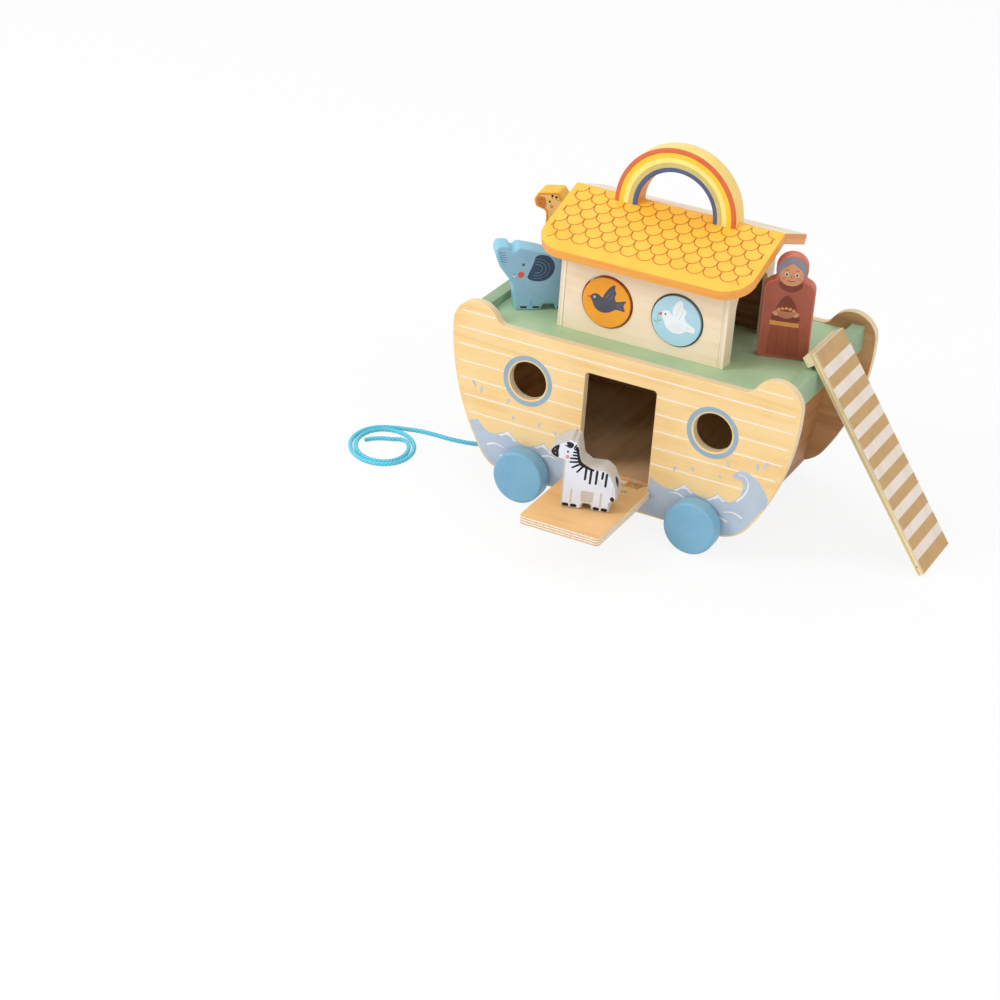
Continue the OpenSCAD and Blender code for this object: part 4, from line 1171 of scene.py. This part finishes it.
def giraffePrint():
    skin = printInk("giraffeSkin", (250, 198, 118), 0.1, (250, 208, 130))
    edge = printInk("giraffeEdge", (236, 150, 52), 0.1, (246, 180, 80))
    spot = printInk("giraffeSpot", (226, 140, 50), 0.08, (240, 170, 90))
    muzzle = printInk("giraffeMuzzle", (214, 126, 48), 0.08, (230, 150, 80))
    brown = printInk("giraffeBrown", (150, 78, 30), 0.05, (180, 110, 60))
    black = printInk("giraffeBlack", (28, 24, 22), 0.03, (60, 56, 52))
    cheek = printInk("giraffeCheek", (222, 128, 70), 0.05, (236, 160, 110))
    face = [(edge, 0, roundedLoop(giraffeLine, 1.2)), (skin, 1, roundedLoop(giraffeLine, 2.9)),
            (muzzle, 2, blobOf([(-7.4, 77.6), (-5.6, 73.6), (-1, 71.6), (1, 73), (1.2, 77.6), (-0.4, 81.4),
                (-4.2, 81.8), (-6.6, 80.2)])),
            (brown, 3, ovalOf(-3.6, 79, 0.55, 0.8, 20)), (brown, 3, ovalOf(-4.2, 75, 0.5, 0.8, 20)),
            (black, 2, ringOf(4.4, 78.4, 1.05, 16)), (cheek, 2, ringOf(6.4, 74.2, 1.5, 16)),
            (black, 2, ringOf(6.4, 84, 1.2, 14)), (black, 2, ringOf(10, 83.4, 1.2, 14)),
            *strokes(brown, 2, 0.5, 0.5, [(6.4, 83.4), (6.5, 81.6)], [(10, 82.8), (10.1, 81)]),
            (edge, 2, strokeOf([(11.6, 80.6), (14, 81.6), (15.4, 80.2)], 1.1, 0.6)),
            (black, 2, ovalOf(38.6, 16.6, 1.2, 1.8, 15))]
    for u, v, a, b in ((8, 66, 1.7, 1.3), (12.4, 61, 1.5, 1.9), (6.6, 57, 1.4, 1.7), (11, 52, 1.8, 1.5),
            (6, 46, 1.6, 1.9), (12, 43, 1.9, 1.6), (19, 39, 2, 1.6), (8, 36, 1.8, 1.6),
            (15, 33, 1.9, 2), (24, 34, 1.8, 1.6), (21, 27, 1.7, 1.9), (29, 27, 2, 1.7),
            (10, 26, 1.7, 1.9), (33, 21, 1.6, 1.8), (26, 20, 1.7, 1.5), (16, 22, 1.6, 1.5),
            (7, 17, 1.5, 1.7), (30, 13, 1.5, 1.7), (11, 12, 1.4, 1.4)):
        face.append((spot, 2, ovalOf(u, v, a, b, u * 17)))
    face += hooves(black, 2, (4, 10.6, 26.4, 32.4), 1.6, 3.8, 2.2, 2)
    return face


def womanPrint():
    cloak = printInk("cloakBrick", (176, 96, 76), 0.08, (190, 112, 92))
    fold = printInk("robeFold", (132, 66, 52), 0.06, (150, 84, 68))
    skirt = printInk("robeSkirt", (162, 82, 62), 0.06, (174, 98, 78))
    hair = printInk("hairGrey", (142, 140, 152), 0.08, (164, 160, 170))
    skin = printInk("faceTan", (222, 158, 118), 0.06, (230, 174, 140))
    blush = printInk("faceBlush", (222, 134, 104), 0.05, (228, 158, 132))
    dark = printInk("faceLine", (118, 64, 46), 0.03, (136, 84, 68))
    black = printInk("womanEye", (34, 26, 26), 0.02, (60, 50, 50))
    white = printInk("womanEyeWhite", (246, 240, 236), 0.03, (235, 225, 220))
    sash = printInk("sashOrange", (226, 158, 82), 0.08, (238, 180, 110))
    clay = printInk("bowlClay", (196, 128, 100), 0.08, (210, 148, 120))
    mid = 21.6
    face = [(cloak, 0, roundedLoop([(1.4, 1.4, 1.5), (41.8, 1.4, 1.5), (41.8, 65.6, 8), (33, 70.4, 3),
                (30, 73, 3), (13.2, 73, 3), (10.2, 70.4, 3), (1.4, 65.6, 8)], 0)),
            (hair, 1, ovalOf(mid, 80, 12.2, 12, 0, 48)),
            (fold, 2, blobOf([(11.4, 67.6), (15, 62.6), (mid, 60.6), (28.2, 62.6), (31.8, 67.6), (28, 69.4),
                (15.2, 69.4)])),
            (skin, 3, blobOf([(mid, 86), (26.2, 83), (30.4, 79.4), (31.6, 75.2), (30.2, 70.6), (26.6, 67.2),
                (mid, 66.2), (16.6, 67.2), (13, 70.6), (11.6, 75.2), (12.8, 79.4), (17, 83)])),
            (dark, 4, strokeOf([(mid - 5.9, 79.6), (mid - 4.3, 80.2), (mid - 2.8, 79.8)], 0.5, 0.35)),
            (dark, 4, strokeOf([(mid + 2.8, 79.8), (mid + 4.3, 80.2), (mid + 5.9, 79.6)], 0.35, 0.5)),
            (dark, 4, strokeOf([(mid + 0.3, 75.4), (mid - 0.7, 73.6), (mid + 0.6, 73.3)], 0.45, 0.35)),
            (dark, 4, strokeOf([(mid - 3, 71), (mid, 70.1), (mid + 3, 71)], 0.6, 0.6)),
            (skirt, 1, [(7.4, 2.8), (35.4, 2.8), (32.4, 29.8), (8.4, 29.8)]),
            *strokes(fold, 2, 0.6, 0.4, [(15.6, 3.6), (15.6, 28.6)], [(25.6, 3.6), (24.6, 28.6)]),
            (sash, 2, [(8, 30), (32.2, 29.4), (32.2, 33.2), (8, 33.8)]),
            (fold, 1, blobOf([(9.4, 34.6), (11.6, 45), (15.4, 53.4), (mid - 1.2, 57.6), (25, 53.4),
                (29.4, 45), (31.4, 34.2)])),
            (clay, 2, blobOf([(11, 43.4), (15.4, 44.6), (mid - 1.2, 45), (25.6, 44.6), (30, 43.4),
                (26.4, 38.6), (mid - 1.2, 36.6), (14.4, 38.6)])),
            (fold, 3, ovalOf(mid - 1.2, 43.7, 7.2, 0.8, 0, 24)),
            (skin, 3, ovalOf(11.6, 40.4, 2.6, 1.7, -35)), (skin, 3, ovalOf(29.2, 40.4, 2.6, 1.7, 35))]
    for side in (-1, 1):
        face += [(white, 4, ovalOf(mid + side * 4.3, 76.3, 1.7, 1.5)),
                (black, 5, ringOf(mid + side * 4.3, 76.2, 1.05, 18)),
                (blush, 4, ovalOf(mid + side * 6.6, 72.6, 1.7, 1.3))]
    for u, v in ((14.2, 44.4), (17.2, 45.4), (20.4, 45.8), (23.6, 45.4), (26.6, 44.4)):
        face.append((sash, 4, ovalOf(u, v, 1.5, 1.2, u * 9)))
    return face


def makePassengers():
    prints = {"zebra": zebraPrint, "elephant": elephantPrint, "giraffe": giraffePrint,
            "woman_figure": womanPrint}
    for node, setup in passengerSetup.items():
        basis = Matrix.Translation(Vector(setup["at"]) * mm) @ Matrix.Rotation(radians(setup["turn"]), 4, "Z")
        finish = {**setup["paint"], "grain": "z"}
        # the bore's inside darkened: painted shade
        if "bore" in setup:
            finish["bore"] = (setup["thick"] / 2, setup["bore"], boreRadius)
        dress(node, paintedWood(node + "Paint", finish), 1.3, 3, basis)
        shapes = prints[node]()
        front = basis @ planeAt((0, 0, 0), (1, 0, 0), (0, 0, 1))
        back = basis @ planeAt((0, setup["thick"], 0), (-1, 0, 0), (0, 0, 1))
        printLayer(node + "_print", node, front, shapes)
        printLayer(node + "_back_print", node, back, scaled(shapes, -1, 1))
    print("passengers made")


makePassengers()


# floor and studio light
studioSetup = {
    "floor": 40, "sink": 0.0002, "floorTone": 0.9, "floorGlow": 0.88, "world": 0.6, "aim": (0, 0, 0.12),
    "lamps": [("keyLamp", (-2.3, -2.1, 2.3), 1.7, 59), ("fillLamp", (2.6, -1.4, 1.5), 2.4, 18),
        ("topLamp", (-0.3, 0.6, 3), 2.2, 20)],
}


# rays that see a surface as it is, not as a lamp
def plainRays(tree):
    rays = addNode(tree, "ShaderNodeLightPath").outputs
    bounced = calc(tree, "MAXIMUM", rays["Is Glossy Ray"], rays["Is Transmission Ray"])
    return calc(tree, "MAXIMUM", rays["Is Camera Ray"], bounced)


def makeStudio():
    s = studioSetup
    half = s["floor"]
    mesh = bpy.data.meshes.new("paleFloor")
    corners = [(u * half, v * half, -s["sink"]) for u, v in ((-1, -1), (1, -1), (1, 1), (-1, 1))]
    mesh.from_pydata(corners, [], [(0, 1, 2, 3)])
    floor = addObject("paleFloor", mesh)
    material, tree, shader, coords = newMaterial("palePaper")[:4]
    tooth = noise(tree, coords, 300, 3, 0.6)
    tone = s["floorTone"]
    paper = blend(tree, tooth, 0.3, 0.7, (tone, tone, tone, 1), (tone * 0.985, tone * 0.985, tone * 0.98, 1))
    tree.links.new(paper, shader.inputs["Base Color"])
    shader.inputs["Roughness"].default_value = 0.9
    shader.inputs["Specular IOR Level"].default_value = 0.1
    glow = addNode(tree, "ShaderNodeEmission", {"Color": (1, 1, 1, 1), "Strength": 1})
    seen = calc(tree, "MULTIPLY", plainRays(tree), s["floorGlow"])
    lit = addNode(tree, "ShaderNodeMixShader", {0: seen, 1: shader.outputs[0], 2: glow.outputs[0]})
    tree.links.new(lit.outputs[0], tree.nodes["Material Output"].inputs["Surface"])
    mesh.materials.append(material)
    world = bpy.data.worlds.new("studioWorld")
    world.use_nodes = True
    sky = world.node_tree
    wide = sky.nodes["Background"]
    wide.inputs["Color"].default_value = (1, 1, 1, 1)
    wide.inputs["Strength"].default_value = s["world"]
    plain = addNode(sky, "ShaderNodeBackground", {"Color": (1, 1, 1, 1), "Strength": 1})
    skyBlend = addNode(sky, "ShaderNodeMixShader",
            {0: plainRays(sky), 1: wide.outputs[0], 2: plain.outputs[0]})
    sky.links.new(skyBlend.outputs[0], sky.nodes["World Output"].inputs["Surface"])
    bpy.context.scene.world = world
    for name, spot, size, power in s["lamps"]:
        data = bpy.data.lights.new(name, "AREA")
        data.shape = "DISK"
        data.size = size
        data.energy = power
        lamp = addObject(name, data)
        lamp.location = spot
        aim = Vector(s["aim"]) - Vector(spot)
        lamp.rotation_mode = "QUATERNION"
        lamp.rotation_quaternion = aim.to_track_quat("-Z", "Y")
    bpy.context.scene.view_settings.view_transform = "Standard"
    print("studio made")


makeStudio()
